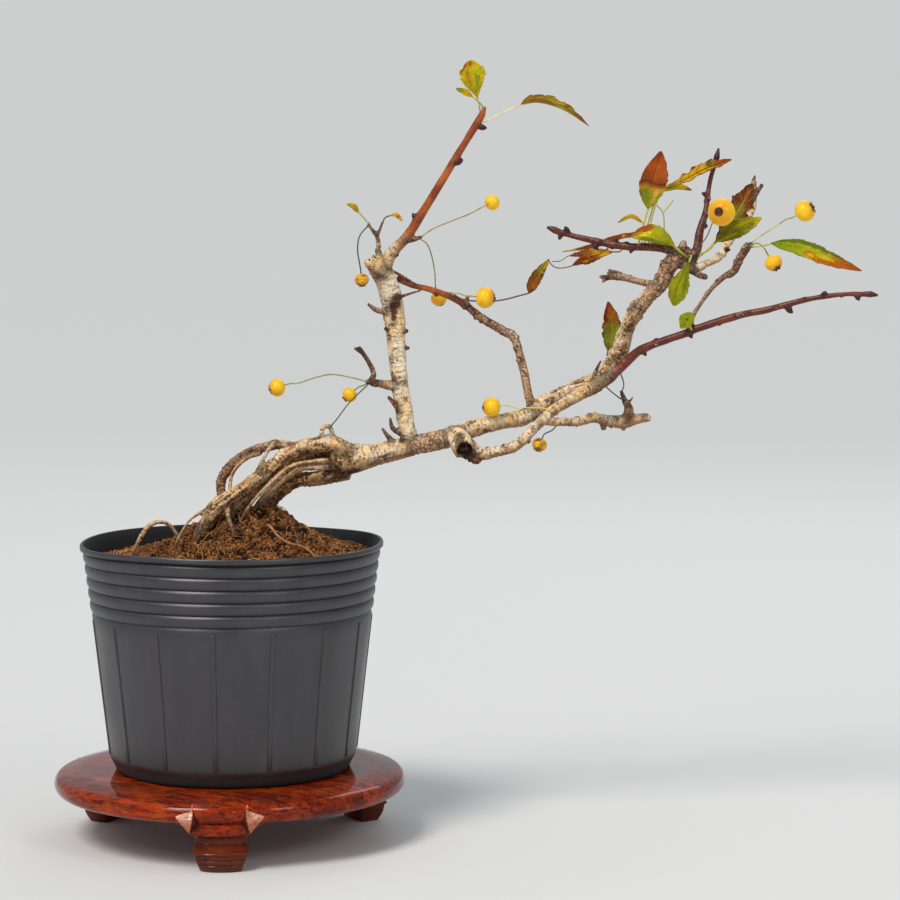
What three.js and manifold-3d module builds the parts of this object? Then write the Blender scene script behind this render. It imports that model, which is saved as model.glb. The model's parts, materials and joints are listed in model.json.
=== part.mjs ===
// A crabapple bonsai: an exposed-root tree with its last leaves and yellow fruits, in the soil of a ribbed
// nursery pot, on a round three-legged stand. Millimetres, +Z up. Everything is drafted with the pot's axis
// at x = y = 0 and the floor at z = 0; the group at the end is moved so that the origin is at the middle of
// the footprint of its bounding box.
import * as THREE from 'three';
import { mergeVertices } from 'three/addons/utils/BufferGeometryUtils.js';
import Module from 'manifold-3d';

const wasm = await Module();
wasm.setup();

// ---------------------------------------------------------------- driving dimensions

const GAP = 0.3; // between pieces that rest on each other
const STAND = { radius: 87.5, underside: 20, top: 35, centreX: -1.5, sides: 36, legs: 3 };
const LEG = { halfWidth: 13.5, footHalfWidth: 10.3, inner: 62, outer: 86 };
const POT = {
  base: STAND.top + GAP, // level of its underside
  height: 113,
  rimRadius: 75,
  rimInside: 73.6,
  rimFace: 2.4, // how far down the upright face of the lip reaches
  wallTop: 110, // height where the wall meets the lip
  wallTopRadius: 73.4,
  ringsRadius: 69.5, // where the rolled rings begin
  ringsHeight: 79,
  ringsTop: 109.6,
  bevelRadius: 61.5,
  bevelHeight: 7.5,
  baseRadius: 58.5,
  wall: 1.1,
  floor: 1.2,
  rings: 5,
  ringDepth: 0.9,
  ribs: 15,
  ribWidth: 2.4,
  ribRise: 0.5,
  ribRoot: 0.9, // how deep a rib is sunk in the wall
  firstRib: -93.5, // where the first rib stands, in degrees
  drainRadius: 8,
  smallDrains: 6,
  smallDrainRadius: 4.5,
  smallDrainCircle: 40,
  sides: 36,
};
const SOIL = {
  level: 141,
  crown: 24, // how high the mound under the roots rises
  crownX: 7,
  spread: 26,
  knoll: { x: 24, y: 3, rise: 3.5, spread: 6.7 },
  edgeDrop: 5, // how far below the level the soil leaves the wall
  surfaceRadii: [61, 52, 43, 34, 25, 16, 7],
  sides: 30,
  rootlets: 7,
};
const LEAF_THICKNESS = 0.66;
const STALK_RADIUS = 0.5;

const COLOURS = {
  stand: 0x6a1e0c,
  pot: 0x3c3c40,
  soil: 0x3a2417,
  tree: 0xb09874,
  leafGreen: 0x7f9a1c,
  leafYellow: 0xc9bb3a,
  leafRed: 0x8a3a1a,
  fruit: 0xf0a418,
};

// ---------------------------------------------------------------- small helpers

const vec = (x, y, z) => new THREE.Vector3(x, y, z);

// Smooth, repeatable unevenness between -1 and 1.
function uneven(a, b, c = 0) {
  const long = Math.sin(a * 0.7 - b * 1.6 + 2 * c);
  const middling = Math.sin(a * 1.9 + 1.3 * Math.sin(b * 1.1));
  const short = Math.sin(b * 2.3 + c);
  return (long + middling + short) / 3;
}

// Repeatable random numbers between 0 and 1.
function randomStream(seed) {
  let state = seed;
  return () => {
    state = (state * 1664525 + 1013904223) % 4294967296;
    return state / 4294967296;
  };
}

// A BufferGeometry's surface as a manifold-3d solid, faces turned outwards.
function solidOf(geometry) {
  const bare = new THREE.BufferGeometry();
  bare.setAttribute('position', geometry.getAttribute('position'));
  if (geometry.index) bare.setIndex(geometry.index);
  const merged = mergeVertices(bare, 1e-4);
  const at = merged.getAttribute('position');
  const corner = (i) => vec(at.getX(i), at.getY(i), at.getZ(i));
  const faces = [];
  let volume = 0;
  for (let i = 0; i < merged.index.count; i += 3) {
    const [a, b, c] = [0, 1, 2].map((k) => merged.index.getX(i + k));
    if (a === b || b === c || c === a) continue;
    faces.push([a, b, c]);
    volume += corner(a).dot(corner(b).cross(corner(c)));
  }
  if (volume < 0) faces.forEach((face) => face.reverse());
  const mesh = { numProp: 3, vertProperties: at.array, triVerts: new Uint32Array(faces.flat()) };
  return new wasm.Manifold(new wasm.Mesh(mesh));
}

// The largest body of a solid, so that no loose scrap of a cut stays behind.
const largest = (solid) =>
  solid.decompose().reduce((best, body) => (body.volume() > best.volume() ? body : best));

// A solid with the slivers of its unions and cuts smoothed away.
const SLIVER = 0.04;
const tidied = (solid) => largest(solid).asOriginal().simplify(SLIVER);

const joined = (solids) => solids.reduce((whole, solid) => whole.add(solid));

function meshOf(name, solid, colour, roughness) {
  const { vertProperties, triVerts } = solid.getMesh();
  const geometry = new THREE.BufferGeometry();
  geometry.setAttribute('position', new THREE.BufferAttribute(vertProperties, 3));
  geometry.setIndex(new THREE.BufferAttribute(triVerts, 1));
  const mesh = new THREE.Mesh(geometry, new THREE.MeshStandardMaterial({ color: colour, roughness }));
  mesh.name = name;
  return mesh;
}

// A closed skin through rings of equally many points. Each end closes on its ring's middle, pulled out by
// startPull or endPull. From flipFrom on, a ring's faces are split along the other diagonal.
function loft(rings, { startPull = vec(0, 0, 0), endPull = vec(0, 0, 0), flipFrom = Infinity } = {}) {
  const count = rings[0].length;
  const middle = (ring) => ring.reduce((sum, p) => sum.add(p), vec(0, 0, 0)).divideScalar(count);
  const points = rings.flat();
  const start = points.push(middle(rings[0]).add(startPull)) - 1;
  const end = points.push(middle(rings.at(-1)).add(endPull)) - 1;
  const faces = [];
  for (let i = 0; i + 1 < rings.length; i++) {
    for (let k = 0; k < count; k++) {
      const next = (k + 1) % count;
      const [a, b, c, d] = [i * count + k, i * count + next, (i + 1) * count + next, (i + 1) * count + k];
      if (k < flipFrom) faces.push(a, b, c, a, c, d);
      else faces.push(a, b, d, b, c, d);
    }
  }
  const last = (rings.length - 1) * count;
  for (let k = 0; k < count; k++) {
    const next = (k + 1) % count;
    faces.push(start, next, k);
    faces.push(end, last + k, last + next);
  }
  const geometry = new THREE.BufferGeometry();
  geometry.setAttribute('position', new THREE.Float32BufferAttribute(points.flatMap((p) => p.toArray()), 3));
  geometry.setIndex(faces);
  return solidOf(geometry);
}

// A limb, root or stalk: a round section carried along a smooth route of [x, y, z, radius] points.
function limb(route, { sides = 6, spacing = 5, gnarl = 0, blunt = 0.5, grow = 0 } = {}) {
  const path = new THREE.CatmullRomCurve3(route.map(([x, y, z]) => vec(x, y, z)), false, 'centripetal');
  const steps = Math.max(2, Math.round(path.getLength() / spacing));
  const spans = route.length - 1;
  const radiusAt = (t) => {
    const i = Math.min(spans - 1, Math.floor(t * spans));
    return THREE.MathUtils.lerp(route[i][3], route[i + 1][3], t * spans - i);
  };
  const rings = [];
  let before = path.getTangent(0);
  let across = vec(0.31, 0.9, 0.17).cross(before).normalize();
  for (let step = 0; step <= steps; step++) {
    const t = path.getUtoTmapping(step / steps);
    const centre = path.getPoint(t);
    const along = path.getTangent(t);
    across.applyQuaternion(new THREE.Quaternion().setFromUnitVectors(before, along));
    before = along;
    const other = along.clone().cross(across);
    if (grow && step === 0) centre.addScaledVector(along, -grow);
    if (grow && step === steps) centre.addScaledVector(along, grow);
    rings.push(
      Array.from({ length: sides }, (_, k) => {
        const angle = (2 * Math.PI * k) / sides;
        const lump = 1 + gnarl * uneven(centre.x * 0.4 + centre.z * 0.3, angle, step * 0.9);
        const radius = radiusAt(t) * lump + grow;
        return centre
          .clone()
          .addScaledVector(across, radius * Math.cos(angle))
          .addScaledVector(other, radius * Math.sin(angle));
      }),
    );
  }
  const pull = (radius) => blunt * radius;
  return loft(rings, {
    startPull: path.getTangent(0).multiplyScalar(-pull(radiusAt(0))),
    endPull: before.clone().multiplyScalar(pull(radiusAt(1))),
  });
}

// ---------------------------------------------------------------- stand

// One leg: level sections [z, half width, outer radius, inner radius], from inside the plate to the floor.
function standLeg() {
  const levels = [
    [STAND.underside + 2, 29, 83, LEG.inner - 4],
    [STAND.underside, 26, 83.2, LEG.inner - 3],
    [18, 18.6, 83.6, LEG.inner - 1],
    [15.4, 14.8, 83.2, LEG.inner + 2],
    [12, LEG.halfWidth - 0.3, 80.6, LEG.inner + 4],
    [10.4, LEG.halfWidth - 0.2, 82.6, LEG.inner + 5],
    [6.8, LEG.halfWidth, LEG.outer, LEG.inner + 7],
    [5.4, LEG.halfWidth - 0.8, 84.6, LEG.inner + 7],
    [4, LEG.halfWidth - 1.4, 85, LEG.inner + 7],
    [0, LEG.footHalfWidth, 82, LEG.inner + 8],
  ];
  const rings = levels.map(([z, half, outer, inner]) =>
    [
      [inner, -half],
      [outer - 3.4, -half],
      [outer - 0.5, -half * 0.7],
      [outer, 0],
      [outer - 0.5, half * 0.7],
      [outer - 3.4, half],
      [inner, half],
    ].map(([out, sideways]) => vec(out, sideways, z)),
  );
  return loft(rings);
}

// A carved ridge beside the leg's shoulder: a sharp upright edge between two slanting facets.
function shoulderRidge(side) {
  const top = vec(84.4, side * 13.2, 33);
  const crest = vec(89, side * 13.5, 25.4);
  const foot = vec(85.4, side * 13.8, 14.6);
  const outside = vec(84, side * 25.5, 25);
  const inside = vec(84.6, side * 7.4, 24);
  const sunk = vec(74, side * 14, 24);
  return loft([
    [top, top, top, top],
    [inside, crest, outside, sunk],
    [foot, foot, foot, foot],
  ]);
}

function makeStand() {
  const { radius, underside, top } = STAND;
  const edge = [
    [0, underside],
    [radius - 5, underside],
    [radius - 2.2, underside + 1.2],
    [radius - 0.2, underside + 4.4],
    [radius, underside + 7.2],
    [radius - 1.3, underside + 10.4],
    [radius - 4.6, underside + 13.2],
    [radius - 10, top - 0.3],
    [radius - 15, top],
    [0, top],
  ];
  const profile = edge.map(([r, z]) => new THREE.Vector2(r, z));
  const plate = new THREE.LatheGeometry(profile, STAND.sides).rotateX(Math.PI / 2);
  const leg = joined([standLeg(), shoulderRidge(1), shoulderRidge(-1)]);
  const legs = Array.from({ length: STAND.legs }, (_, i) => leg.rotate([0, 0, -90 + (360 / STAND.legs) * i]));
  return joined([solidOf(plate), ...legs]).translate([STAND.centreX, 0, 0]);
}

// ---------------------------------------------------------------- pot

// The wall's outer radius at a height above the pot's base, without its rings.
function potWall(height) {
  const p = POT;
  if (height < p.ringsHeight) {
    const up = (height - p.bevelHeight) / (p.ringsHeight - p.bevelHeight);
    return THREE.MathUtils.lerp(p.bevelRadius, p.ringsRadius, up);
  }
  const up = (height - p.ringsHeight) / (p.wallTop - p.ringsHeight);
  return THREE.MathUtils.lerp(p.ringsRadius, p.wallTopRadius, up);
}

// The shell's section from the middle of its underside, up the outside with its rolled rings and down inside.
function potProfile() {
  const p = POT;
  const outside = [
    [0, 0],
    [p.baseRadius - 2, 0],
    [p.baseRadius, 0.8],
    [p.bevelRadius, p.bevelHeight],
    [potWall(p.ringsHeight - 2.2), p.ringsHeight - 2.2],
  ];
  const pitch = (p.ringsTop - p.ringsHeight) / p.rings;
  for (let i = 0; i < p.rings; i++) {
    const groove = p.ringsHeight + i * pitch;
    outside.push([potWall(groove) - p.ringDepth, groove]);
    outside.push([potWall(groove + pitch * 0.5) + 0.4, groove + pitch * 0.55]);
  }
  outside.push([p.wallTopRadius - p.ringDepth, p.ringsTop]);
  outside.push([p.rimRadius, p.height - p.rimFace]);
  outside.push([p.rimRadius, p.height - 0.3]);
  const thick = p.wall + p.ringDepth;
  const inside = [
    [p.rimInside, p.height],
    [potWall(p.wallTop - 1) - thick, p.height - 2],
    [potWall(p.ringsHeight) - thick, p.ringsHeight],
    [p.bevelRadius - p.wall, p.bevelHeight],
    [p.baseRadius - p.wall - 0.6, p.floor],
    [0, p.floor],
  ];
  return [...outside, ...inside].map(([r, z]) => new THREE.Vector2(r, z));
}

// The flat upright ribs on the smooth part of the wall, leaning as it does.
function potRibs() {
  const p = POT;
  const foot = p.bevelHeight + 1;
  const tall = p.ringsHeight - 2.6 - foot;
  const tilt = Math.atan2(p.ringsRadius - p.bevelRadius, p.ringsHeight - p.bevelHeight);
  const out = potWall(foot + tall / 2) + (p.ribRise - p.ribRoot) / 2;
  const rib = new THREE.BoxGeometry(p.ribRise + p.ribRoot, p.ribWidth, tall)
    .rotateY(tilt)
    .translate(out, 0, foot + tall / 2);
  return Array.from({ length: p.ribs }, (_, i) =>
    solidOf(rib).rotate([0, 0, p.firstRib + (360 / p.ribs) * i]),
  );
}

function drainHoles() {
  const p = POT;
  const hole = (radius) => new THREE.CylinderGeometry(radius, radius, 6, 10).rotateX(Math.PI / 2);
  const small = solidOf(hole(p.smallDrainRadius).translate(p.smallDrainCircle, 0, 0));
  const step = 360 / p.smallDrains;
  const ring = Array.from({ length: p.smallDrains }, (_, i) => small.rotate([0, 0, step * (i + 0.5)]));
  return joined([solidOf(hole(p.drainRadius)), ...ring]);
}

function makePot() {
  const shell = solidOf(new THREE.LatheGeometry(potProfile(), POT.sides).rotateX(Math.PI / 2));
  return joined([shell, ...potRibs()])
    .subtract(drainHoles())
    .translate([0, 0, POT.base]);
}

// ---------------------------------------------------------------- soil

// Level of the soil's smooth surface: a mound under the roots that runs down to the pot's wall.
function soilLevel(x, y) {
  const hill = (far, spread) => Math.exp(-far / (2 * spread ** 2));
  const mound = SOIL.crown * hill((x - SOIL.crownX) ** 2 + y ** 2, SOIL.spread);
  const { knoll } = SOIL;
  const hump = knoll.rise * hill((x - knoll.x) ** 2 + (y - knoll.y) ** 2, knoll.spread);
  return SOIL.level + mound + hump + 0.02 * (x - Math.hypot(x, y) + 40);
}

const clod = (x, y) => 1.1 * uneven(x * 0.45, y * 0.45, 1.2) + 0.5 * uneven(x * 1.1, y * 1.1, 0.4);

function makeSoil() {
  const p = POT;
  const floor = p.base + p.floor + GAP;
  const apothem = Math.cos(Math.PI / p.sides);
  const inside = (height) => (potWall(height) - p.wall - p.ringDepth) * apothem - GAP - 0.1;
  const shoulder = SOIL.level - SOIL.edgeDrop;
  const brink = inside(shoulder - p.base) - 0.1;
  const outer = [
    [0, floor],
    [p.baseRadius - 3, floor],
    [p.bevelRadius - p.wall - GAP - 0.6, p.base + p.bevelHeight + 0.5],
    [inside(p.ringsHeight), p.base + p.ringsHeight],
    [brink, shoulder],
  ];
  const surface = [brink - 0.6, ...SOIL.surfaceRadii, 0].map((r) => [r, SOIL.level]);
  const profile = [...outer, ...surface].map(([r, z]) => new THREE.Vector2(r, z));
  const body = new THREE.LatheGeometry(profile, SOIL.sides).rotateX(Math.PI / 2);
  const at = body.getAttribute('position');
  for (let i = 0; i < at.count; i++) {
    if (at.getZ(i) < SOIL.level - 0.5) continue;
    const [x, y] = [at.getX(i), at.getY(i)];
    const lump = Math.hypot(x, y) < 1 ? 0 : clod(x, y);
    at.setZ(i, soilLevel(x, y) + lump);
  }
  return solidOf(body);
}

// Short dead rootlets, half sunk in the soil's surface.
function rootlets(count) {
  const random = randomStream(41);
  return Array.from({ length: count }, () => {
    const angle = 2 * Math.PI * random();
    const radius = 22 + 40 * random();
    const turn = 2 * Math.PI * random();
    const length = 12 + 10 * random();
    const lie = (along, side, lift) => {
      const x = radius * Math.cos(angle) + along * length * Math.cos(turn) - side * Math.sin(turn);
      const y = radius * Math.sin(angle) + along * length * Math.sin(turn) + side * Math.cos(turn);
      const inward = Math.min(1, 66 / Math.hypot(x, y));
      return [x * inward, y * inward, soilLevel(x * inward, y * inward) + lift, 0.9];
    };
    return limb([lie(-0.5, 0, -1.4), lie(-0.15, 2, 0.9), lie(0.2, -1.5, 0.8), lie(0.5, 0, -1.4)], {
      sides: 3,
      spacing: length / 3,
    });
  });
}

// ---------------------------------------------------------------- tree

const THICK = { sides: 8, spacing: 6, gnarl: 0.07 };
const BRANCH = { sides: 6, spacing: 6, gnarl: 0.07 };
const ROOT = { sides: 6, spacing: 6.4, gnarl: 0.09 };
const ROOTLET = { sides: 4, spacing: 6.5, gnarl: 0.06 };
const SHOOT = { sides: 5, spacing: 7.6, gnarl: 0.03 };
const SPUR = { sides: 5, spacing: 3.6, gnarl: 0.14 };
const NUB = { sides: 4, spacing: 4, blunt: 0.3 };
const THREAD = { sides: 4, spacing: 9 };

// Every limb as [kind, route], a route's points being [x, y, z, radius]; y grows towards the back.
const TREE = {
  trunk: [THICK, [
    [50, 0, 188.5, 6.4], [54, 0, 189, 8.6], [61, 0, 189.5, 7.4], [70, -1, 191, 5.6], [90, -2, 196, 4.9],
    [111, -3, 201, 5], [121, -2, 205, 4.5], [135, 0, 208, 4], [145, 2, 210, 4.2], [156, 5, 217, 4.1],
    [170, 8, 223.4, 3.9], [184, 8, 229, 4.1], [189.5, 7, 235, 5.2], [193, 5, 243, 4.5], [195, 3, 250, 4],
    [198, 1, 258, 3.8], [203, -1, 266, 3.8], [208, -2, 272, 4], [213, -2, 277, 4], [216, -1, 284, 4.2],
    [221, 0, 289, 4.6], [226, 0, 291, 3.4],
  ]],
  upperRoot: [ROOT, [
    [56, -1, 192, 6.5], [50, -2, 196.5, 4.9], [42, -3, 196.5, 4], [33, -5, 194.5, 3.8],
    [27, -6.5, 191.5, 3.7], [22, -8, 187.5, 3.6], [16, -10, 182.5, 3.5], [8, -13, 176.5, 3.5],
    [1, -16, 172, 3.7], [-6, -17, 167, 4.1], [-10, -18, 161, 4.1], [-14, -19, 154, 3.3],
    [-19, -22, 145, 1.9], [-24, -25, 134, 1.2],
  ]],
  lowerRoot: [ROOT, [
    [57, 0, 184.5, 5.6], [50, 1, 181.5, 4.7], [41, 3, 179.3, 3.8], [32, 5, 178, 3.7], [26, 7, 174.6, 3.9],
    [20.5, 8, 169.5, 3.9], [16.6, 8, 163, 3.8], [13, 8, 154, 3.1], [10, 9, 140, 2],
  ]],
  backRoot: [ROOT, [
    [53, 3, 190, 3.4], [44, 7, 187.5, 2.5], [36, 10, 186, 2.5], [29, 11, 183, 2.5], [23, 11, 178, 2.6],
    [17, 10, 171, 2.5], [13, 8, 162, 2.2], [11, 6, 152, 1.8],
  ]],
  bundleRoot: [ROOT, [
    [50, -1, 193, 2.8], [41, 3, 190.6, 2], [33, 4, 189, 2], [26, 3, 184.6, 2], [19.5, 0, 179, 2],
    [12, -4, 173, 2], [7, -5, 165.6, 1.8], [5, -5, 155, 1.3],
  ]],
  underRoot: [ROOT, [
    [24, -6, 187.4, 3], [17, -7, 179.6, 2.3], [10, -9, 173.4, 2.2], [4, -11, 168, 2.1], [0, -12, 161, 1.8],
    [-1, -12, 152, 1.2],
  ]],
  crossingRoot: [ROOTLET, [
    [22, -1, 197, 1.6], [19, -7, 194.5, 1.1], [16.5, -10, 190, 1.1], [14, -10, 184, 1.5],
  ]],
  loopRoot: [ROOT, [
    [30, -4, 195.6, 2.8], [24, 0, 196.4, 2.5], [15, 4, 194.4, 2.4], [8, 7, 192, 2.3], [2.2, 9, 188, 2.4],
    [-2.6, 11, 183, 2.6], [-5.6, 11, 178, 2.6], [-5.6, 10, 172, 2.5], [-4, 8, 166, 2.4], [-2, 7, 157, 2.1],
    [-1, 6, 146, 1.5],
  ]],
  loopInnerRoot: [ROOTLET, [
    [14.5, 3, 192, 1.4], [8, 5, 189.4, 1], [2.6, 6, 185, 1], [-0.6, 7, 179.5, 1], [-1, 5, 172.6, 1.2],
    [-0.5, 3, 165, 1.4],
  ]],
  frontThinRoot: [ROOTLET, [
    [54, -4, 189, 2], [40, -8, 188.6, 1.1], [31, -10, 187, 1], [25.5, -11, 183.4, 1], [17, -13, 175.4, 1],
    [12, -14, 170, 1], [7, -15, 163, 1.1], [3, -16, 154, 0.9],
  ]],
  middleRoot: [ROOTLET, [
    [55, -3, 186, 2.2], [43, -6, 185.6, 1.5], [35, -7, 185, 1.4], [28.5, -6, 181, 1.4],
    [21, -5, 174.6, 1.4], [14, -5, 168, 1.4], [8, -5, 160, 1.3], [3, -6, 150, 0.9],
  ]],
  innerRoot: [ROOTLET, [[52, 1, 189, 1.8], [44, 3, 191, 1.2], [36, 3, 193, 1.2], [30, -1, 194, 1.4]]],
  shortRoot: [ROOTLET, [[0, -16, 171, 1.9], [-0.5, -19.5, 164, 1.3], [2.5, -24, 156, 1], [6, -28, 146, 0.8]]],
  leftThinRoot: [ROOTLET, [
    [-8, -18, 167, 1.4], [-13, -18, 165, 1], [-19, -20, 161, 0.8], [-23, -24, 155, 0.8],
    [-27, -27, 147, 0.7],
  ]],
  archedRoot: [ROOTLET, [
    [-17, -21, 150, 1.6], [-22, -18, 149, 1.1], [-26, -17, 154, 1], [-30, -18, 159, 1.1],
    [-35, -19, 160, 1.2], [-40, -20, 157, 1.2], [-45, -20, 149, 1.2], [-49, -20, 141, 1],
  ]],
  surfaceRoot: [ROOTLET, [
    [14, 4, 155, 1.3], [17, -10, 157, 1], [20, -20, 158, 0.9], [26, -29, 153, 0.8], [31, -32, 150.8, 0.8],
    [36, -34, 150, 0.8], [42, -39, 146.8, 0.7], [48, -43, 139, 0.7],
  ]],
  kneeLoop: [NUB, [
    [47, -2, 197, 1.7], [45, -4, 203, 1.2], [46.4, -4, 205.6, 1.1], [49, -3, 205.6, 1.1],
    [50, -2, 203, 1.2], [50.4, -1, 197, 1.7],
  ]],
  upright: [THICK, [
    [89, -1, 196, 4.7], [87, 0, 206, 4.4], [84, 2, 224, 4.2], [82, 5, 243, 4.5], [81, 7, 258, 5.3],
    [79, 8, 271, 5.6], [75, 7, 281, 5.5], [70, 5, 288.5, 5],
  ]],
  apexShoot: [SHOOT, [
    [75, 6, 280, 3.8], [79, 5, 290, 3.1], [87, 2, 299, 2.5], [95, -2, 311, 2.3], [100, -4, 319, 2.1],
    [109, -8, 334, 1.9], [121, -12, 353.5, 1.9], [124, -12.5, 358.5, 1.8], [125.5, -13, 362.4, 0.8],
  ]],
  apexSpur: [NUB, [[86, 2.5, 297.5, 1.9], [91, 1, 298, 1.4], [94.5, 0.5, 299, 0.9]]],
  topTwig: [SPUR, [[73, 6, 284, 2.4], [73, 5, 292, 1.5], [73, 5, 297, 1.2], [72, 5, 301, 1.2]]],
  topTwigLeft: [NUB, [[72, 5, 300, 1.2], [69, 4, 304, 0.9], [68, 4, 306, 0.8]]],
  topTwigRight: [NUB, [[72.5, 5, 300, 1], [74, 5, 303, 0.8], [75, 4, 306, 0.7]]],
  middleBranch: [BRANCH, [
    [150, 3, 213, 3.2], [148, 6, 219, 2.3], [147, 8, 224, 2.2], [144, 11, 237, 2.2], [140, 13, 249, 2.3],
    [135, 14, 252, 2.3], [125, 14, 258, 2.2], [113, 13, 267, 1.8], [98, 12, 273, 1.6], [89, 12, 275, 1.4],
    [79, 13, 279, 1],
  ]],
  middleBranchFork: [NUB, [[92, 12, 274.5, 1.1], [85, 13, 279, 0.9], [80, 14, 282, 0.7]]],
  middleSpurHigh: [NUB, [[113, 13, 267, 1.5], [109, 12, 270.5, 1.3]]],
  middleSpurLow: [NUB, [[116, 13, 265, 1.4], [117.5, 12, 269.5, 1]]],
  leftTwig: [SPUR, [
    [84, 2, 226, 2.8], [79, 0, 226, 2.6], [74, -3, 227, 2.1], [70, -6, 228, 1.9], [71, -8, 232, 1.4],
    [68, -11, 239, 1.2], [64, -14, 245, 1.3],
  ]],
  leftTwigFork: [NUB, [[65.5, -13, 243, 1.4], [62, -14.5, 245, 0.9]]],
  leftTwigSpur: [NUB, [[71, -5.5, 228, 1.7], [67.5, -7, 228, 1.3]]],
  cutStub: [THICK, [
    [108.5, -2, 202.8, 4.1], [111.5, -6, 201.2, 5], [113.8, -10, 198.4, 5.8], [115.6, -14.5, 195.2, 5.4],
  ]],
  cutStubSide: [NUB, [[117, -10, 194, 3.8], [122, -13, 189.8, 2.6]]],
  frontBranch: [BRANCH, [
    [116, -7, 198, 3.8], [123, -11, 193, 3], [131, -14, 194, 2.7], [138, -16, 196, 2.7],
    [144, -17, 200, 2.7], [148, -17, 204, 2.5], [153, -15, 209, 2.5], [159, -11, 214, 2.8],
    [166, -7, 218, 3], [173, -3, 222, 3.4], [180, -1, 225, 3.5], [187, 0, 229.5, 3],
  ]],
  longShoot: [SHOOT, [
    [180, -1, 225, 3.2], [187, 0, 229.5, 3], [194, -2, 236, 2.5], [200, -5, 242, 2.3], [207, -8, 246, 2.1],
    [222, -12, 251.5, 2], [231, -14, 255.2, 2], [250, -19, 261.4, 1.9], [263, -22, 264.2, 1.7],
    [281, -26, 269.2, 1.4], [300, -29, 272, 1.2], [308, -30, 272, 1.3], [311.5, -30.5, 272, 1.7],
    [315, -31, 271.5, 0.7],
  ]],
  shootSpur: [SPUR, [
    [226, -13, 253.5, 1.8], [227, -14, 260, 1.3], [231, -15, 267, 1.1], [236, -16, 274, 1.2],
    [242, -17, 280, 1.5], [247, -18, 283, 2], [249, -19, 288, 2], [253, -20, 295, 2.2],
  ]],
  deadBranch: [SPUR, [
    [150, 3, 211, 3], [156, 6, 208, 2.5], [163, 8, 207, 2.2], [173, 11, 207, 2.3], [180, 13, 208.6, 2.6],
    [188, 14, 207.3, 2.9], [195, 15, 206.6, 3.8], [202, 16, 207.8, 2.8], [209, 17, 208, 1.7],
  ]],
  deadSpur: [SPUR, [[197, 15, 208, 3], [198, 15, 213, 2.4], [195.5, 14, 218, 1.4], [194, 13, 222, 0.9]]],
  deadSpurProng: [NUB, [[197, 14.5, 215, 1], [200, 14, 219, 0.5]]],
  deadStub: [NUB, [[184.5, 14, 207, 1.6], [185.5, 13, 202.5, 1.3]]],
  stubTwig: [SPUR, [
    [211, -2, 275, 2.4], [207, 0, 276, 1.9], [202, 4, 277, 1.8], [195, 7, 278.9, 1.9], [190, 9, 280, 2.6],
    [187, 10, 280.4, 2.8],
  ]],
  stubTwigProng: [NUB, [[187.5, 10, 280, 1.3], [183, 10, 279, 0.8]]],
  stubTwigProngLow: [NUB, [[187.5, 10, 279, 1.2], [184.3, 10, 276.6, 0.8]]],
  backTwig: [SHOOT, [
    [224, 1, 288, 3.2], [216, 3, 293, 2.6], [207, 6, 294, 2.1], [198, 9, 294, 2], [189, 11, 295, 1.9],
    [180, 13, 297, 1.8], [171, 15, 299, 1.6], [164, 17, 301, 1.5], [160.5, 18, 302.3, 1.9],
    [157, 18, 303.5, 0.8],
  ]],
  upTwig: [SHOOT, [
    [227, 0, 287, 3], [230, 1.5, 292, 2.3], [232, 4, 302, 2.1], [235, 7, 312, 1.5], [236.5, 10, 322, 1.3],
    [238, 12, 329, 1.2], [240, 13, 335, 1.2], [240.8, 13, 338.4, 1.7], [241.6, 13, 342.6, 0.6],
  ]],
  creamTwig: [SHOOT, [
    [222, 0, 287, 3.2], [228, -2, 283, 2.4], [235, 2, 286, 1.9], [242, 7, 289, 1.8], [246, 11, 295, 1.8],
    [254, 14, 305, 1.8], [259, 17, 312, 1.6], [260, 18, 320, 1.4], [259.6, 18, 325.4, 1.5],
    [260.3, 18, 329.2, 0.6],
  ]],
  creamTwigProng: [NUB, [[259.8, 17.5, 318, 1.3], [262, 17.5, 321.5, 1], [264, 17, 325, 1.1]]],
  clusterStub: [NUB, [[225, -1, 286, 2.2], [230, -5, 281, 1.8], [234, -8, 279.5, 1.5]]],
  clusterKnob: [SPUR, [[221, 0, 290, 3.4], [223, -0.5, 293.6, 2.5], [223.6, -0.5, 296.6, 1.7]]],
  trunkNub: [NUB, [[201.1, 0, 263.9, 3], [198.3, -1, 266.7, 1.9]]],
  clusterBud: [NUB, [[219, 1, 292, 1.6], [217.5, 0.5, 297, 0.9]]],
  thorn: [NUB, [[180, 4, 227, 1.8], [180.5, 1, 232, 1.2], [183, -1, 238, 0.6]]],
  uprightStub: [NUB, [[78, 6, 262, 2], [72, 3, 263, 1.4], [68, 1, 266, 0.8]]],
  uprightNubRight: [NUB, [[83, 6, 252, 1.5], [88, 6, 252.5, 1]]],
  uprightNubLower: [NUB, [[83, 5, 244, 1.5], [88, 6, 244, 1]]],
  uprightNubLeft: [NUB, [[80, 6, 253, 1.4], [76, 6, 253.5, 0.8]]],
  scarSpur: [SPUR, [[80, 5, 264, 2.8], [83, 1, 270, 1.8]]],
  scarTwig: [NUB, [[82, 1, 269, 1.2], [87, 3, 270.5, 0.8], [94, 8, 272.5, 0.6]]],
  lowSpurs: [NUB, [[85, 0, 211, 1.9], [81, -3, 217, 1.4], [78, -5, 220.5, 0.8]]],
  lowSpurMiddle: [NUB, [[84, 0, 202, 1.7], [80, -3, 205, 1.3], [79, -5, 210, 0.7]]],
  lowSpurLower: [NUB, [[80, -2, 198, 1.8], [77, -5, 202, 1.1], [75, -6, 205, 0.7]]],
  forkedStalk: [THREAD, [
    [214, 4, 293, 0.7], [214, 1.5, 301, 0.5], [213.2, -0.5, 311, 0.5], [209.4, -1, 315.3, 0.6],
  ]],
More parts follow.
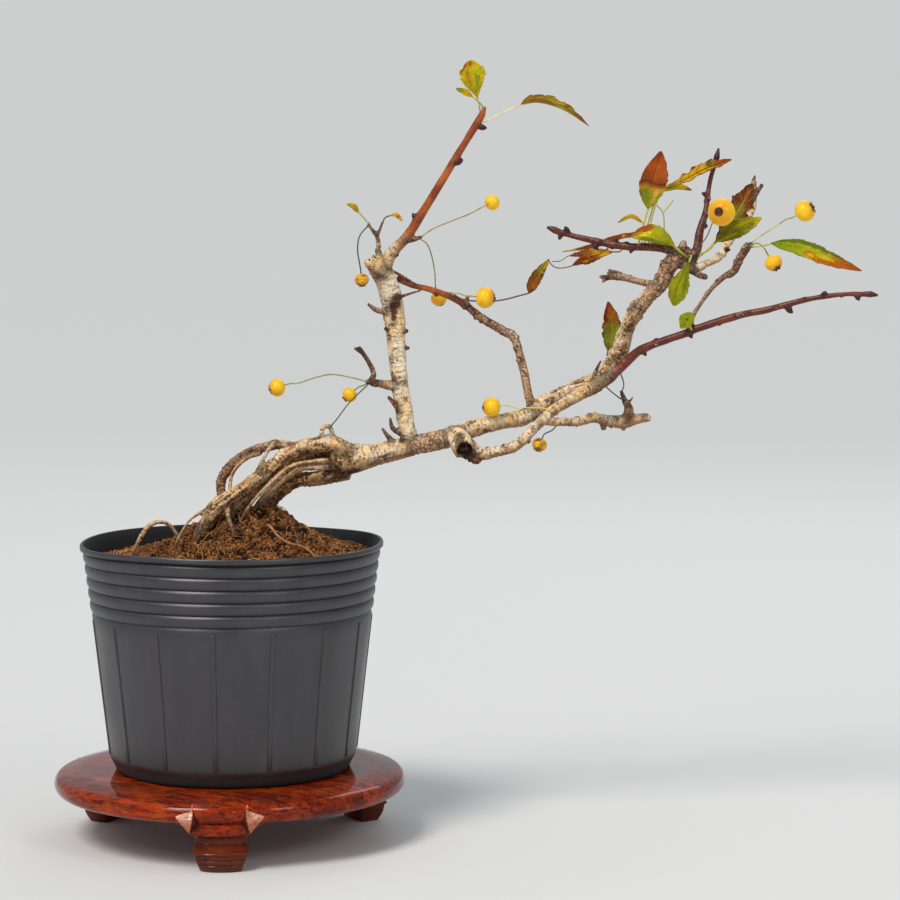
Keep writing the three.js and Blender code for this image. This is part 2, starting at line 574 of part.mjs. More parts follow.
  forkedStalkArm: [THREAD, [[213.2, -0.4, 310.6, 0.5], [216, 0, 314, 0.5], [218.4, 0, 317.2, 0.5]]],
  hangingStalk: [THREAD, [
    [69, -6.5, 227.5, 0.6], [59, -12, 218, 0.5], [53, -9, 210, 0.5], [49.4, -3.2, 205.6, 0.6],
  ]],
  oldStalk: [THREAD, [[194, 13, 221, 0.6], [195, 8, 226, 0.5], [192.5, 5, 233, 0.6]]],
  oldStalkLow: [THREAD, [[194, 13.5, 218, 0.6], [190, 12, 221, 0.5], [184, 9, 226.5, 0.6]]],
};

// Winter buds: [x, y, z] on a shoot's axis, the way they point in x and z, and their size against a small
// one.
const BUDS = [
  [208, -8, 246, 0.6, 1, 1.2], [203, -6.5, 243.5, 0.8, -1, 1], [225, -12.5, 252.6, 0.8, -1, 1],
  [240, -16.5, 258, 0.7, 1, 1], [271, -24, 266.6, 0.9, -1, 1.5], [288, -27.5, 270.4, 0.8, 1, 1.1],
  [304, -29.7, 272, 0.8, -1, 1.1], [109.6, -8.5, 334.5, 0.9, 0.4, 1.6], [121.5, -12, 353, 1, -0.2, 1.4],
  [92, -0.5, 307, -0.5, 1, 1.2], [80, 5, 291, 1, -0.4, 1], [168, 16, 300, -0.6, 1, 1.3],
  [164, 17, 301, -0.3, -1, 1.1], [199, 8, 294, -0.4, -1, 1], [236.5, 9.5, 319, -1, 0.5, 1.1],
  [233, 6, 303, 1, 0.6, 1], [238.5, 12.5, 333, -1, 0.7, 1], [244, 9, 292, 1, 0.2, 1],
  [256, 15, 309, -1, 0.6, 1], [101, 12, 272, 0.3, -1, 0.9], [122, 14, 260.5, -0.5, -1, 0.9],
  [180.5, 13, 296.6, 0.1, -1, 1.4], [190.5, 10.6, 295, 0.2, 1, 1.1], [227.5, -2, 288, 0.6, 0.5, 1],
];

function bud([x, y, z, leanX, leanZ, size], grow = 0) {
  const point = vec(leanX, -0.25, leanZ).normalize();
  const place = (distance, radius) => [
    ...vec(x, y, z).addScaledVector(point, distance * size).toArray(),
    radius * size,
  ];
  return limb([place(0.8, 0.8), place(2.2, 1.15), place(3.8, 0.45)], { ...NUB, spacing: 1.5 * size, grow });
}

// The whole tree as one solid, thicker all round by grow.
const makeTree = (grow = 0) =>
  joined([
    ...Object.values(TREE).map(([kind, route]) => limb(route, { ...kind, grow })),
    ...BUDS.map((b) => bud(b, grow)),
  ]);

// ---------------------------------------------------------------- leaves

// stalk: points from inside the twig to the blade; rib: the midrib from there to the tip; face and tipFace:
// the way the upper side looks at either end; half: half the blade's width; teeth: teeth along each edge;
// fold: the angle by which each half is folded up, in radians; wave: how far the edges ripple; peak: where
// along the broad part the blade is widest; tail: the share of the rib that is only a narrow strip, and
// strip: how wide that is, as a share of the widest; stout: how thick the stalk is against the others.
const LEAVES = {
  leaf_apex_broad: {
    stalk: [[123.5, -12, 358], [123, -13.5, 361], [122, -14, 366]],
    rib: [[122, -14, 366], [120, -13.5, 375], [118.3, -14, 384.7]],
    face: [-0.1, -1, 0.1], tipFace: [0.1, -1, -0.2], half: 7.4, teeth: 5, fold: 0.25, wave: 0.5, peak: 0.62,
  },
  leaf_apex_long: {
    stalk: [[123, -12.4, 354.6], [127.5, -12.7, 356], [133, -13, 359], [143, -14, 363.5]],
    rib: [[143, -14, 363.5], [150, -15, 364.6], [157, -15.5, 363.4], [165.5, -16, 360], [176, -15, 353]],
    face: [-0.1, -0.5, 1], tipFace: [0.5, -0.6, 0.8], half: 4.6, teeth: 7, fold: 0.9, wave: 0.3, peak: 0.3,
  },
  leaf_apex_bud: {
    stalk: [[124.6, -12.5, 361.5], [123.5, -17, 363.5], [119.5, -18.5, 367]],
    rib: [[119.5, -18.5, 367], [116, -18.5, 369], [111.5, -18, 371]],
    face: [-0.3, -1, 0.5], half: 1.9, teeth: 2, fold: 0.5,
  },
  leaf_crown_left: {
    stalk: [[68.5, 4, 305], [65.5, 3, 309], [63.5, 2.5, 311]],
    rib: [[63.5, 2.5, 311], [61, 1.5, 313.5], [58, 0, 315]],
    face: [0.3, -0.8, 0.6], half: 2.1, teeth: 2, fold: 0.4,
  },
  leaf_crown_right: {
    stalk: [[75, 4, 305.5], [76.5, 3, 308.5], [79, 2.5, 309.5]],
    rib: [[79, 2.5, 309.5], [81.5, 2, 309.5], [85, 1, 307]],
    face: [0.2, -0.7, 0.8], half: 1.7, teeth: 2, fold: 0.4,
  },
  leaf_behind_trunk: {
    stalk: [[189.5, 8, 235], [187, 15.5, 239], [187.5, 17, 242]],
    rib: [[187.5, 17, 242], [189.5, 18, 252], [187.5, 16.5, 266.5]],
    face: [-0.2, -1, 0], tipFace: [0.1, -1, 0.1], half: 5.4, teeth: 6, fold: 0.25, wave: 0.3,
  },
  leaf_shoot_round: {
    stalk: [[226, -12.8, 252.5], [226.5, -15, 254.4], [225.6, -16, 255.6]],
    rib: [[225.6, -16, 255.6], [223.4, -17, 258.6], [220.6, -17.5, 260.6]],
    face: [0.1, -1, 0.3], half: 5.2, teeth: 3, fold: 0.25,
  },
  leaf_right_long: {
    stalk: [[252.5, -20, 294], [259, -21.5, 295], [264, -22, 296]],
    rib: [[264, -22, 296.4], [278, -24, 294], [292, -26, 288.6], [307.5, -28, 283.2]],
    face: [0, -0.9, 0.5], tipFace: [0.3, -0.9, 0.3], half: 4.9, teeth: 9, fold: 0.25, wave: 0.4,
  },
  leaf_fruit_high: {
    stalk: [[230.5, 1, 290.4], [235.5, -2.6, 292.4], [238.7, -3.5, 296]],
    rib: [[238.7, -3.5, 296], [246, -2, 306], [252.6, -1, 316], [257.2, 0, 325]],
    face: [-0.2, -1, 0.1], tipFace: [-0.4, -1, 0], half: 7.4, teeth: 7, fold: 0.3, wave: 0.6, peak: 0.55,
  },
  leaf_fruit_low: {
    stalk: [[230, 0.5, 288.2], [234.6, -8, 292.8], [237.6, -11, 296.6]],
    rib: [[237.6, -11, 296.6], [243.8, -12, 300.2], [251.4, -12, 304], [260.6, -11, 308.6]],
    face: [-0.1, -1, 0.2], tipFace: [-0.2, -1, 0.4], half: 4.9, teeth: 6, fold: 0.3, wave: 0.5, peak: 0.5,
  },
  leaf_hanging: {
    stalk: [[226, -1, 289.5], [227, -7, 290], [225.6, -9, 287]],
    rib: [[225.6, -9, 287], [222.6, -10, 280], [220, -10.5, 273], [218.4, -10, 265.6]],
    face: [-0.1, -1, 0.1], tipFace: [0.1, -1, -0.2], half: 5.5, teeth: 6, fold: 0.25, wave: 0.4, peak: 0.6,
  },
  leaf_upright: {
    stalk: [[201.4, 7, 293.6], [203.6, 5.5, 303], [206.2, 4.5, 312.6]],
    rib: [[206.2, 4.5, 312.6], [207.6, 3.5, 322], [210, 3, 331], [212.4, 3, 341]],
    face: [-0.1, -1, 0], tipFace: [0.2, -1, 0.1], half: 7.3, teeth: 7, fold: 0.28, wave: 0.5, peak: 0.46,
    stout: 1.3,
  },
  leaf_edge_on: {
    stalk: [[204.6, 7, 294], [206.6, 8.2, 305.4], [209.4, 8.5, 314.6], [213.6, 9, 321.6]],
    rib: [[213.6, 9, 321.6], [224.4, 8, 327], [235, 7, 332.6], [247.4, 6.5, 337]],
    face: [-0.4, -0.8, 0.6], tipFace: [-0.4, -0.9, 0.4], half: 4, teeth: 8, fold: 0.5, wave: 0.5, peak: 0.56,
  },
  leaf_spur_yellow: {
    stalk: [[206.6, 6.3, 294], [208, 10.8, 305.6], [210.6, 12.5, 314.6], [213.6, 14, 321.4]],
    rib: [[213.6, 14, 321.4], [220.6, 14, 323.4], [228.4, 13.5, 322]],
    face: [0, -0.7, 0.7], half: 2.8, teeth: 3, fold: 0.4,
  },
  leaf_spur_stipule: {
    stalk: [[203, 8.6, 294.6], [204.6, 10.2, 300], [204.4, 10.4, 305.6]],
    rib: [[204.4, 10.4, 305.6], [198.4, 10.2, 308.6], [191.6, 8.5, 306]],
    face: [0, -0.7, 0.7], half: 1.7, teeth: 2, fold: 0.5,
  },
  leaf_twig_long: {
    stalk: [[227, -1, 288], [222, -5.5, 291.6], [218.6, -6.2, 294.6]],
    rib: [
      [218.6, -6.2, 294.6], [211.6, -5, 298.8], [205.2, -2, 300.4], [199.4, 3, 299.8], [194.4, 10, 298.8],
      [189.6, 15, 297.4], [185, 18, 295.6], [178.6, 20, 293.8], [171.6, 19.5, 292.4], [164.6, 18, 291.4],
    ],
    face: [0.1, -0.9, 0.5], tipFace: [0.1, -0.8, 0.6], half: 5.6, teeth: 12, fold: 0.3, wave: 0.3, peak: 0.48,
    tail: 0.62, strip: 0.36, stout: 1.5,
  },
  leaf_curl_upper: {
    stalk: [[188, 11, 295], [186, 8, 292.6], [183, 7.5, 291.4]],
    rib: [
      [183, 7.5, 291.4], [175, 7, 289.9], [170, 7, 289.6], [167, 8, 289.4], [163.4, 10, 287],
      [159.5, 12, 286.6],
    ],
    face: [0.1, -0.8, 0.5], tipFace: [0.1, -0.5, 0.9], half: 3.2, teeth: 7, fold: 0.6, wave: 0.2, peak: 0.4,
    tail: 0.4,
  },
  leaf_curl_lower: {
    stalk: [[195, 9, 294], [193, 12, 291.6], [190, 13, 291.4]],
    rib: [
      [190, 13, 291.4], [183, 13, 290.2], [177.5, 12.5, 287.8], [172.4, 12, 286], [167.5, 12, 284],
      [162.4, 13, 283.4], [159.4, 14, 284.6], [157.3, 14.5, 287.6],
    ],
    face: [0.2, -0.9, 0.4], tipFace: [0.2, -0.7, 0.7], half: 3.8, teeth: 9, fold: 0.5, wave: 0.3, peak: 0.5,
    tail: 0.4,
  },
  leaf_middle_branch: {
    stalk: [[110, 12.6, 269.5], [118, 19.5, 267], [132, 21, 266.8], [148, 20, 270.6]],
    rib: [[148, 20, 270.6], [150.4, 20, 276], [154, 19.5, 282], [158, 19, 287.4]],
    face: [-0.1, -1, 0.1], half: 3.7, teeth: 5, fold: 0.55, wave: 0.2, peak: 0.34,
  },
};

// The blade's half width at a share t of its length, as a share of the widest.
function bladeOutline(t, { peak = 0.42, tail = 0, strip = 0 }) {
  const share = Math.min(1, t / (1 - tail));
  const swell = Math.sin(Math.PI * share ** (Math.log(0.5) / Math.log(peak)));
  const ribbon = strip * Math.min(1, 3 * (1 - t), 8 * t);
  return Math.max(0.09, ribbon, swell ** 0.85);
}

function blade(spec) {
  const path = new THREE.CatmullRomCurve3(spec.rib.map((p) => vec(...p)), false, 'centripetal');
  const facing = vec(...spec.face).normalize();
  const tipFacing = vec(...(spec.tipFace ?? spec.face)).normalize();
  const stations = 2 * spec.teeth;
  const rings = [];
  for (let i = 0; i <= stations; i++) {
    const t = i / stations;
    const centre = path.getPointAt(t);
    const along = path.getTangentAt(t);
    const look = facing.clone().lerp(tipFacing, t);
    const side = along.clone().cross(look).normalize();
    const up = side.clone().cross(along).normalize();
    const tooth = i % 2 === 0 && i > 0 && i < stations ? 0.86 : 1;
    const half = spec.half * bladeOutline(t, spec) * tooth;
    const edge = (sign) => {
      const ripple = (spec.wave ?? 0) * Math.sin(i * 1.7 + sign * 0.8);
      return centre
        .clone()
        .addScaledVector(side, sign * half * Math.cos(spec.fold))
        .addScaledVector(up, half * Math.sin(spec.fold) + ripple * bladeOutline(t, spec))
        .addScaledVector(along, tooth === 1 && i > 0 && i < stations ? 0.5 : 0);
    };
    const [left, right] = [edge(-1), edge(1)];
    const lift = up.multiplyScalar(LEAF_THICKNESS / 2 / Math.cos(spec.fold));
    const above = (p) => p.clone().add(lift);
    const below = (p) => p.clone().sub(lift);
    rings.push([above(left), above(centre), above(right), below(right), below(centre), below(left)]);
  }
  return loft(rings, { flipFrom: 3 });
}

function makeLeaf(spec) {
  const radius = STALK_RADIUS * (spec.stout ?? 1);
  const stalk = limb(spec.stalk.map((p) => [...p, radius]), { sides: 4, spacing: 6 });
  return joined([stalk, blade(spec)]);
}

// ---------------------------------------------------------------- fruits

// centre, diameter, axis: the way the eye looks; stalk: points from the twig towards the fruit.
const FRUITS = {
  fruit_apex: {
    centre: [129, -16, 316], size: 7.4, axis: [0.7, 0.6, 0.3],
    stalk: [[94, 0.5, 298.8], [100, -3, 303], [108, -8, 306.5], [118, -13, 310.5]],
  },
  fruit_behind_branch: {
    centre: [103, 22, 268], size: 8.2, axis: [0.3, 0.1, -1],
    stalk: [[93, 0.8, 298.5], [97, 8, 295.5], [99.5, 14, 289], [101, 19, 280]],
  },
  fruit_middle_branch: {
    centre: [126, 5, 269], size: 10.4, axis: [1, -0.1, -0.1],
    stalk: [[109, 12, 270], [112.5, 9, 271], [117, 7, 269.5]],
  },
  fruit_crown_left: {
    centre: [65, -2, 278], size: 6.9, axis: [0.1, 0, -1],
    stalk: [[68.5, 4, 305], [64, 1, 299.5], [63, -1.5, 293], [64, -2, 286]],
  },
  fruit_far_left: {
    centre: [24, -18, 226], size: 8.6, axis: [-1, -0.2, -0.3],
    stalk: [[68.5, -7, 228], [57, -10, 231], [50, -12, 232], [42, -15, 230.5], [34, -17, 228]],
  },
  fruit_left_twig: {
    centre: [59, -5, 221.5], size: 7.4, axis: [-0.8, -0.2, -0.7],
    stalk: [[69.5, -5, 228], [65.5, -5, 226]],
  },
  fruit_on_trunk: {
    centre: [129, -5, 215.5], size: 9.6, axis: [-1, -0.1, -0.1],
    stalk: [[157.5, -12.5, 213.5], [155.5, -15.8, 215.4], [148.8, -14, 215.7], [141, -10, 215.5]],
  },
  fruit_under_branch: {
    centre: [153, 4, 196], size: 7.4, axis: [-0.4, -0.1, -0.9],
    stalk: [[163, 8, 207], [159.5, 7, 203]],
  },
  fruit_big: {
    centre: [240.4, -19, 311.4], size: 13.2, axis: [-0.33, -0.93, 0.03],
    stalk: [[230.5, 1.5, 293], [235, -1, 299.5], [237.5, -5.5, 306.5], [240.5, -9.5, 310.8]],
  },
  fruit_right_high: {
    centre: [280, -26, 312], size: 10.2, axis: [0.75, -0.4, 0.42],
    stalk: [[252.5, -20, 294.5], [258, -21, 299], [266.5, -23, 304.8], [272, -24.5, 308.4]],
  },
  fruit_right_low: {
    centre: [265, -27, 287], size: 8.4, axis: [0.5, -0.6, -0.8],
    stalk: [[253, -20.5, 294], [257.5, -24, 296.5], [261, -25.5, 293.5]],
  },
};

// Section of a pome as [out, up] shares of its radius: dimple at the stalk, a shallow basin round the eye.
const POME_SKIN = [
  [0, -0.93], [0.5, -0.86], [0.9, -0.42], [0.97, 0.2], [0.7, 0.74], [0.34, 0.93], [0.2, 0.82], [0, 0.8],
];
const POME_SIDES = 9;
const CROWN = { mouth: 0.3, foot: 0.12, height: 0.42, at: 0.92, sides: 5 };

// A pome turned about +Z, its eye at the top, with the withered crown of the flower in it.
function pome(size) {
  const r = size / 2;
  const profile = POME_SKIN.map(([out, up]) => new THREE.Vector2(out * r, up * r));
  const body = solidOf(new THREE.LatheGeometry(profile, POME_SIDES).rotateX(Math.PI / 2));
  const { mouth, foot, height, at, sides } = CROWN;
  const crown = new THREE.CylinderGeometry(mouth * r, foot * r, height * r, sides).rotateX(Math.PI / 2);
  return body.add(solidOf(crown.translate(0, 0, at * r)));
}

function makeFruit({ centre, size, axis, stalk }) {
  const look = vec(...axis).normalize();
  const turn = new THREE.Quaternion().setFromUnitVectors(vec(0, 0, 1), look);
  const place = new THREE.Matrix4().compose(vec(...centre), turn, vec(1, 1, 1));
  const body = pome(size).transform(place.toArray());
  const joint = vec(...centre).addScaledVector(look, -0.4 * size);
  const neck = vec(...centre).addScaledVector(look, -0.75 * size);
  const route = [...stalk, neck.toArray(), joint.toArray()].map((p) => [...p, STALK_RADIUS]);
  return body.add(limb(route, { sides: 4, spacing: 8 }));
}

// ---------------------------------------------------------------- the whole

const clearance = makeTree(GAP * 1.2);
const root = new THREE.Group();
const pieces = new THREE.Group();
root.add(pieces);

pieces.add(meshOf('stand', tidied(makeStand()), COLOURS.stand, 0.15));
pieces.add(meshOf('pot', tidied(makePot()), COLOURS.pot, 0.5));
const soil = joined([makeSoil(), ...rootlets(SOIL.rootlets)]).subtract(clearance);
pieces.add(meshOf('soil', tidied(soil), COLOURS.soil, 1));
pieces.add(meshOf('tree', tidied(makeTree()), COLOURS.tree, 0.8));

const leafColours = [COLOURS.leafGreen, COLOURS.leafYellow, COLOURS.leafRed];
Object.entries(LEAVES).forEach(([name, spec], i) => {
  const leaf = tidied(makeLeaf(spec).subtract(clearance));
  pieces.add(meshOf(name, leaf, leafColours[i % 3], 0.6));
});
Object.entries(FRUITS).forEach(([name, spec]) => {
  const fruit = tidied(makeFruit(spec).subtract(clearance));
  pieces.add(meshOf(name, fruit, COLOURS.fruit, 0.3));
});

const box = new THREE.Box3().setFromObject(pieces, true);
const middle = box.getCenter(vec(0, 0, 0));
pieces.position.set(-middle.x, -middle.y, -box.min.z);

export default root;
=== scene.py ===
# %% [markdown]
# # A crabapple bonsai in its nursery pot
#
# A small tree leans far to the right out of a black pot of soil, on a round lacquered stand. The wood, the
# roots, nineteen last leaves and eleven yellow fruits are rebuilt here around a fixed frame of solids that
# says where each of them is. Every length in this file is in millimetres from the pot's own axis, and one
# small function turns a drafted point into a place in the frame.

# %% Load the frame
import json
import math
import random

import bpy
import numpy as np
from mathutils import Matrix, Quaternion, Vector, noise

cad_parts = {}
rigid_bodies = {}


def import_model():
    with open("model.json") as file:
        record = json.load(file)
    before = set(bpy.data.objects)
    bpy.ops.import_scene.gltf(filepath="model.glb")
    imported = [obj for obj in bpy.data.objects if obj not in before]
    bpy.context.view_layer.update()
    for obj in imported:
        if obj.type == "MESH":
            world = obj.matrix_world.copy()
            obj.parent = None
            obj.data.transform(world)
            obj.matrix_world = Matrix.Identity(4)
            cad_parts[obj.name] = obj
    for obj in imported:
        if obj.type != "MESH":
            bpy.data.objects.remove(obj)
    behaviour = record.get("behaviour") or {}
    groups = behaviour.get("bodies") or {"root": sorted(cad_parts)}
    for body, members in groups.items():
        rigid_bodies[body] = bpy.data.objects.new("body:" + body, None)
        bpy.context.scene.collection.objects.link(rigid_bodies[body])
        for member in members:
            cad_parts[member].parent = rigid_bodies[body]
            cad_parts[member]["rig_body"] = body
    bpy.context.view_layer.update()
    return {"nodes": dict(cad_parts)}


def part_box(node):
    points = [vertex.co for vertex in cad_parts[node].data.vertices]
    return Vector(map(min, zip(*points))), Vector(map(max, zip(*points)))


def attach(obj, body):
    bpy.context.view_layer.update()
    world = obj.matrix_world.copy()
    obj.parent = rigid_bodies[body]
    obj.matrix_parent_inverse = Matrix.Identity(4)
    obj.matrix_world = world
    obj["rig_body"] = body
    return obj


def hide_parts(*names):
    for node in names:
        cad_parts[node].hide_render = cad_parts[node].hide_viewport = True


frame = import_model()
MM = 0.001
POT_LOW, POT_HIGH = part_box("pot")
AXIS = (POT_LOW + POT_HIGH) / 2


def spot(x, y, z):
    """A point drafted in millimetres about the pot's axis, in the frame's metres."""
    return Vector((AXIS.x + x * MM, AXIS.y + y * MM, z * MM))


print("nodes in the frame:", len(frame["nodes"]))

# %% [markdown]
# ## Camera, floor and light
#
# A long lens from a low stand keeps the pot's sides almost upright, as a portrait of a tree should. The floor
# is one pale plane, and the light is soft: a cool sky all round, a broad sun that lights the floor evenly up
# to the horizon, a softbox on either side of the camera for the highlights on lacquer and fruit, and a weak
# lamp behind that draws a thin edge on the bark. What the camera sees beyond the floor is worked out to be
# as bright as the floor there, so that no horizon line cuts through the picture.

# %% Camera
LENS = 116
SENSOR = 36
EYE = spot(108.5, -1432, 325)
TILT_DOWN = math.radians(5.24)

bpy.ops.object.camera_add(location=EYE, rotation=(math.pi / 2 - TILT_DOWN, 0, 0))
camera = bpy.context.object
camera.name = "portrait_camera"
camera.data.lens = LENS
camera.data.sensor_width = SENSOR
bpy.context.scene.camera = camera
print("camera to pot:", round((EYE - AXIS).length, 3), "m")

# %% Shared helpers for pieces


def only(piece):
    """Selects this piece alone."""
    bpy.ops.object.select_all(action="DESELECT")
    piece.select_set(True)
    bpy.context.view_layer.objects.active = piece


def primitive(kind, **settings):
    """One of the ready-made simple meshes, added with nothing else selected."""
    bpy.ops.object.select_all(action="DESELECT")
    getattr(bpy.ops.mesh, f"primitive_{kind}_add")(**settings)
    return bpy.context.object


def join(pieces, name):
    """Several pieces as one, under a new name."""
    only(pieces[0])
    for piece in pieces:
        piece.select_set(True)
    bpy.ops.object.join()
    bpy.context.object.name = name
    return bpy.context.object


def build_mesh(piece, points, faces):
    """Gives a piece a new mesh, of these points and faces."""
    piece.data.clear_geometry()
    piece.data.from_pydata(points, [], faces)


def smooth_shaded(piece, degrees):
    """Shades a piece smooth, apart from edges sharper than so many degrees."""
    only(piece)
    bpy.ops.object.shade_smooth_by_angle(angle=math.radians(degrees))


def mend_normals():
    """Turns all faces of the mesh that is open in edit mode outwards, and closes edit mode."""
    bpy.ops.mesh.select_all(action="SELECT")
    bpy.ops.mesh.normals_make_consistent(inside=False)
    bpy.ops.object.mode_set(mode="OBJECT")


def settle(piece):
    """Puts the piece's place and turn into its mesh, so that its object sits at the origin."""
    only(piece)
    bpy.ops.object.transform_apply(location=True, rotation=True, scale=True)


def apply_modifier(piece, kind, **settings):
    """Adds a modifier, sets it and applies it."""
    only(piece)
    modifier = piece.modifiers.new(kind.title(), kind)
    for setting, value in settings.items():
        setattr(modifier, setting, value)
    bpy.ops.object.modifier_apply(modifier=modifier.name)


def points_of(piece):
    """A mesh's points as rows of an array."""
    points = np.empty(len(piece.data.vertices) * 3)
    piece.data.vertices.foreach_get("co", points)
    return points.reshape(-1, 3)


def set_points(piece, points):
    piece.data.vertices.foreach_set("co", np.asarray(points, float).ravel())
    piece.data.update()


def vertex_normals(piece):
    normals = np.empty(len(piece.data.vertices) * 3)
    piece.data.vertices.foreach_get("normal", normals)
    return normals.reshape(-1, 3)


def reshape(piece, rule):
    """Moves every point of a mesh to where the rule puts it."""
    for vertex in piece.data.vertices:
        vertex.co = rule(vertex.co)
    piece.data.update()


def paint_attribute(piece, name, values):
    """Keeps a number or a vector for each point, for the materials to read."""
    values = np.asarray(values, float)
    kind, field = ("FLOAT", "value") if values.ndim == 1 else ("FLOAT_VECTOR", "vector")
    piece.data.attributes.new(name, kind, "POINT").data.foreach_set(field, values.ravel())


def triangles(piece):
    return sum(len(face.vertices) - 2 for face in piece.data.polygons)


def dress(piece, finish):
    """Gives a whole piece one finish, which it keeps when it is joined with others."""
    piece.data.materials.clear()
    piece.data.materials.append(finish)


def place(piece, node):
    """Hands a finished piece to the frame: its body, and the solid that it stands for."""
    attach(piece, "root")
    if node:
        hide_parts(node)
    print(f"{piece.name}: {triangles(piece)} triangles")


# %% Floor and lights
FLOOR_SIZE = 60
FLOOR_SHADE = (0.755, 0.745, 0.73)
SKY = (0.84, 0.93, 1.0)
SKY_STRENGTH = 0.46
SUN = (1.0, 0.965, 0.92)
SUN_STRENGTH = 1.7
SUN_FROM = (-650, -1000, 1500)
SUN_SOFTNESS = math.radians(20)

bpy.context.scene.view_settings.view_transform = "Standard"


def area_light(name, x, y, z, size, watts, colour):
    """A square lamp that looks at the middle of the tree."""
    bpy.ops.object.light_add(type="AREA", location=spot(x, y, z))
    lamp = bpy.context.object
    lamp.name = name
    lamp.data.size = size
    lamp.data.energy = watts
    lamp.data.color = colour
    aim = spot(60, 0, 200) - lamp.location
    lamp.rotation_euler = aim.to_track_quat("-Z", "Y").to_euler()


def backdrop():
    """How bright the far floor is: its shade times what the sky and the sun put on it."""
    height = Vector(SUN_FROM).normalized().z
    return [shade * (sky * SKY_STRENGTH + sun * SUN_STRENGTH * height / math.pi)
            for shade, sky, sun in zip(FLOOR_SHADE, SKY, SUN)]


def pale_sky():
    """A sky that lights the scene, and that the camera sees in the floor's own brightness."""
    sky = bpy.context.scene.world or bpy.data.worlds.new("sky")
    bpy.context.scene.world = sky
    sky.use_nodes = True
    nodes, links = sky.node_tree.nodes, sky.node_tree.links
    light = nodes["Background"]
    light.inputs["Color"].default_value = (*SKY, 1)
    light.inputs["Strength"].default_value = SKY_STRENGTH
    seen = nodes.new("ShaderNodeBackground")
    seen.inputs["Color"].default_value = (*backdrop(), 1)
    either = nodes.new("ShaderNodeMixShader")
    links.new(nodes.new("ShaderNodeLightPath").outputs["Is Camera Ray"], either.inputs[0])
    links.new(light.outputs[0], either.inputs[1])
    links.new(seen.outputs[0], either.inputs[2])
    links.new(either.outputs[0], nodes["World Output"].inputs[0])


floor = primitive("plane", size=FLOOR_SIZE)
floor.name = "floor"

bpy.ops.object.light_add(type="SUN", location=spot(*SUN_FROM))
sun_lamp = bpy.context.object
sun_lamp.data.energy = SUN_STRENGTH
sun_lamp.data.color = SUN
sun_lamp.data.angle = SUN_SOFTNESS
sun_lamp.rotation_euler = Vector(SUN_FROM).to_track_quat("Z", "Y").to_euler()
area_light("left_softbox", -850, -1250, 1150, 0.5, 5, (1.0, 0.97, 0.93))
area_light("right_softbox", 1050, -1250, 1050, 0.45, 4, (1.0, 0.98, 0.95))
area_light("edge_light", 500, 1300, 1300, 0.8, 3, (0.95, 0.98, 1.0))
pale_sky()

# %% [markdown]
# ## Node helpers
#
# A finish is a handful of nodes: coordinates, noise, masks and mixes that feed one Principled shader. These
# short functions add a node to the tree on the bench, link or set its inputs, and give back an output, so
# that each finish below can be read from top to bottom like a recipe. A colour is written as six hex digits.

# %% Helpers for materials
bench = []


def tint(code):
    """A colour code as the linear colour that a shader wants."""
    shares = [int(code[i:i + 2], 16) / 255 for i in (0, 2, 4)]
    return tuple(((s + 0.055) / 1.055) ** 2.4 if s > 0.04 else s / 12.92 for s in shares) + (1,)


def feed(sockets, inputs):
    """Links or sets inputs by name or number."""
    for socket, value in inputs.items():
        if isinstance(value, bpy.types.NodeSocket):
            bench[-1].links.new(value, sockets[socket])
        else:
            sockets[socket].default_value = tint(value) if isinstance(value, str) else value


def node(kind, inputs=None, **settings):
    """A new node with its settings made and its inputs fed."""
    made = bench[-1].nodes.new("ShaderNode" + kind)
    for setting, value in settings.items():
        setattr(made, setting, value)
    feed(made.inputs, inputs or {})
    return made


def maths(operation, a, b=0, c=0):
    return node("Math", {0: a, 1: b, 2: c}, operation=operation).outputs[0]


def times(a, b):
    return maths("MULTIPLY", a, b)


def plus(a, b):
    return maths("ADD", a, b)


def mixed(share, a, b, blend="MIX"):
    """Colour a turning into colour b."""
    return node("Mix", {0: share, 6: a, 7: b}, data_type="RGBA", blend_type=blend).outputs[2]


def layered(colour, *layers):
    """The colour with other colours laid over it in turn, each as (mask, colour)."""
    for mask, over in layers:
        colour = mixed(mask, colour, over)
    return colour


def band(value, low, high, to_low=0, to_high=1):
    """Value, stretched so that low to high becomes to_low to to_high, and no further."""
    inputs = {"Value": value, "From Min": low, "From Max": high, "To Min": to_low, "To Max": to_high}
    return node("MapRange", inputs).outputs[0]


def speckle(where, scale, detail=3, rough=0.55, warp=0):
    """Cloudy noise from 0 to 1."""
    inputs = {"Vector": where, "Scale": scale, "Detail": detail, "Roughness": rough, "Distortion": warp}
    return node("TexNoise", inputs).outputs[0]


def attribute(name, output="Fac"):
    return node("Attribute", attribute_name=name).outputs[output]


def in_place():
    """Where a point is on the object, in metres."""
    return node("TexCoord").outputs["Object"]


def height_of(where):
    return node("SeparateXYZ", {0: where}).outputs[2]


def ramp(value, stops):
    """A colour for every value, from a list of (value, colour)."""
    made = node("ValToRGB", {0: value})
    colours = made.color_ramp.elements
    for stop, _ in stops[2:]:
        colours.new(stop)
    for element, (stop, code) in zip(colours, stops):
        element.position = stop
        element.color = tint(code)
    return made.outputs[0]


def wandering(where, scale, reach):
    """Coordinates pushed about by noise, up to reach millimetres, to make a regular pattern irregular."""
    push = node("TexNoise", {"Vector": where, "Scale": scale}).outputs["Color"]
    shift = node("VectorMath", {0: push, 1: (0.5, 0.5, 0.5)}, operation="SUBTRACT").outputs[0]
    far = (reach * 2 * MM,) * 3
    return node("VectorMath", {0: shift, 1: far, 2: where}, operation="MULTIPLY_ADD").outputs[0]


def stretched(where, x, y, z):
    """Coordinates pulled out along an axis, for streaks."""
    return node("Mapping", {"Vector": where, "Scale": (x, y, z)}).outputs[0]


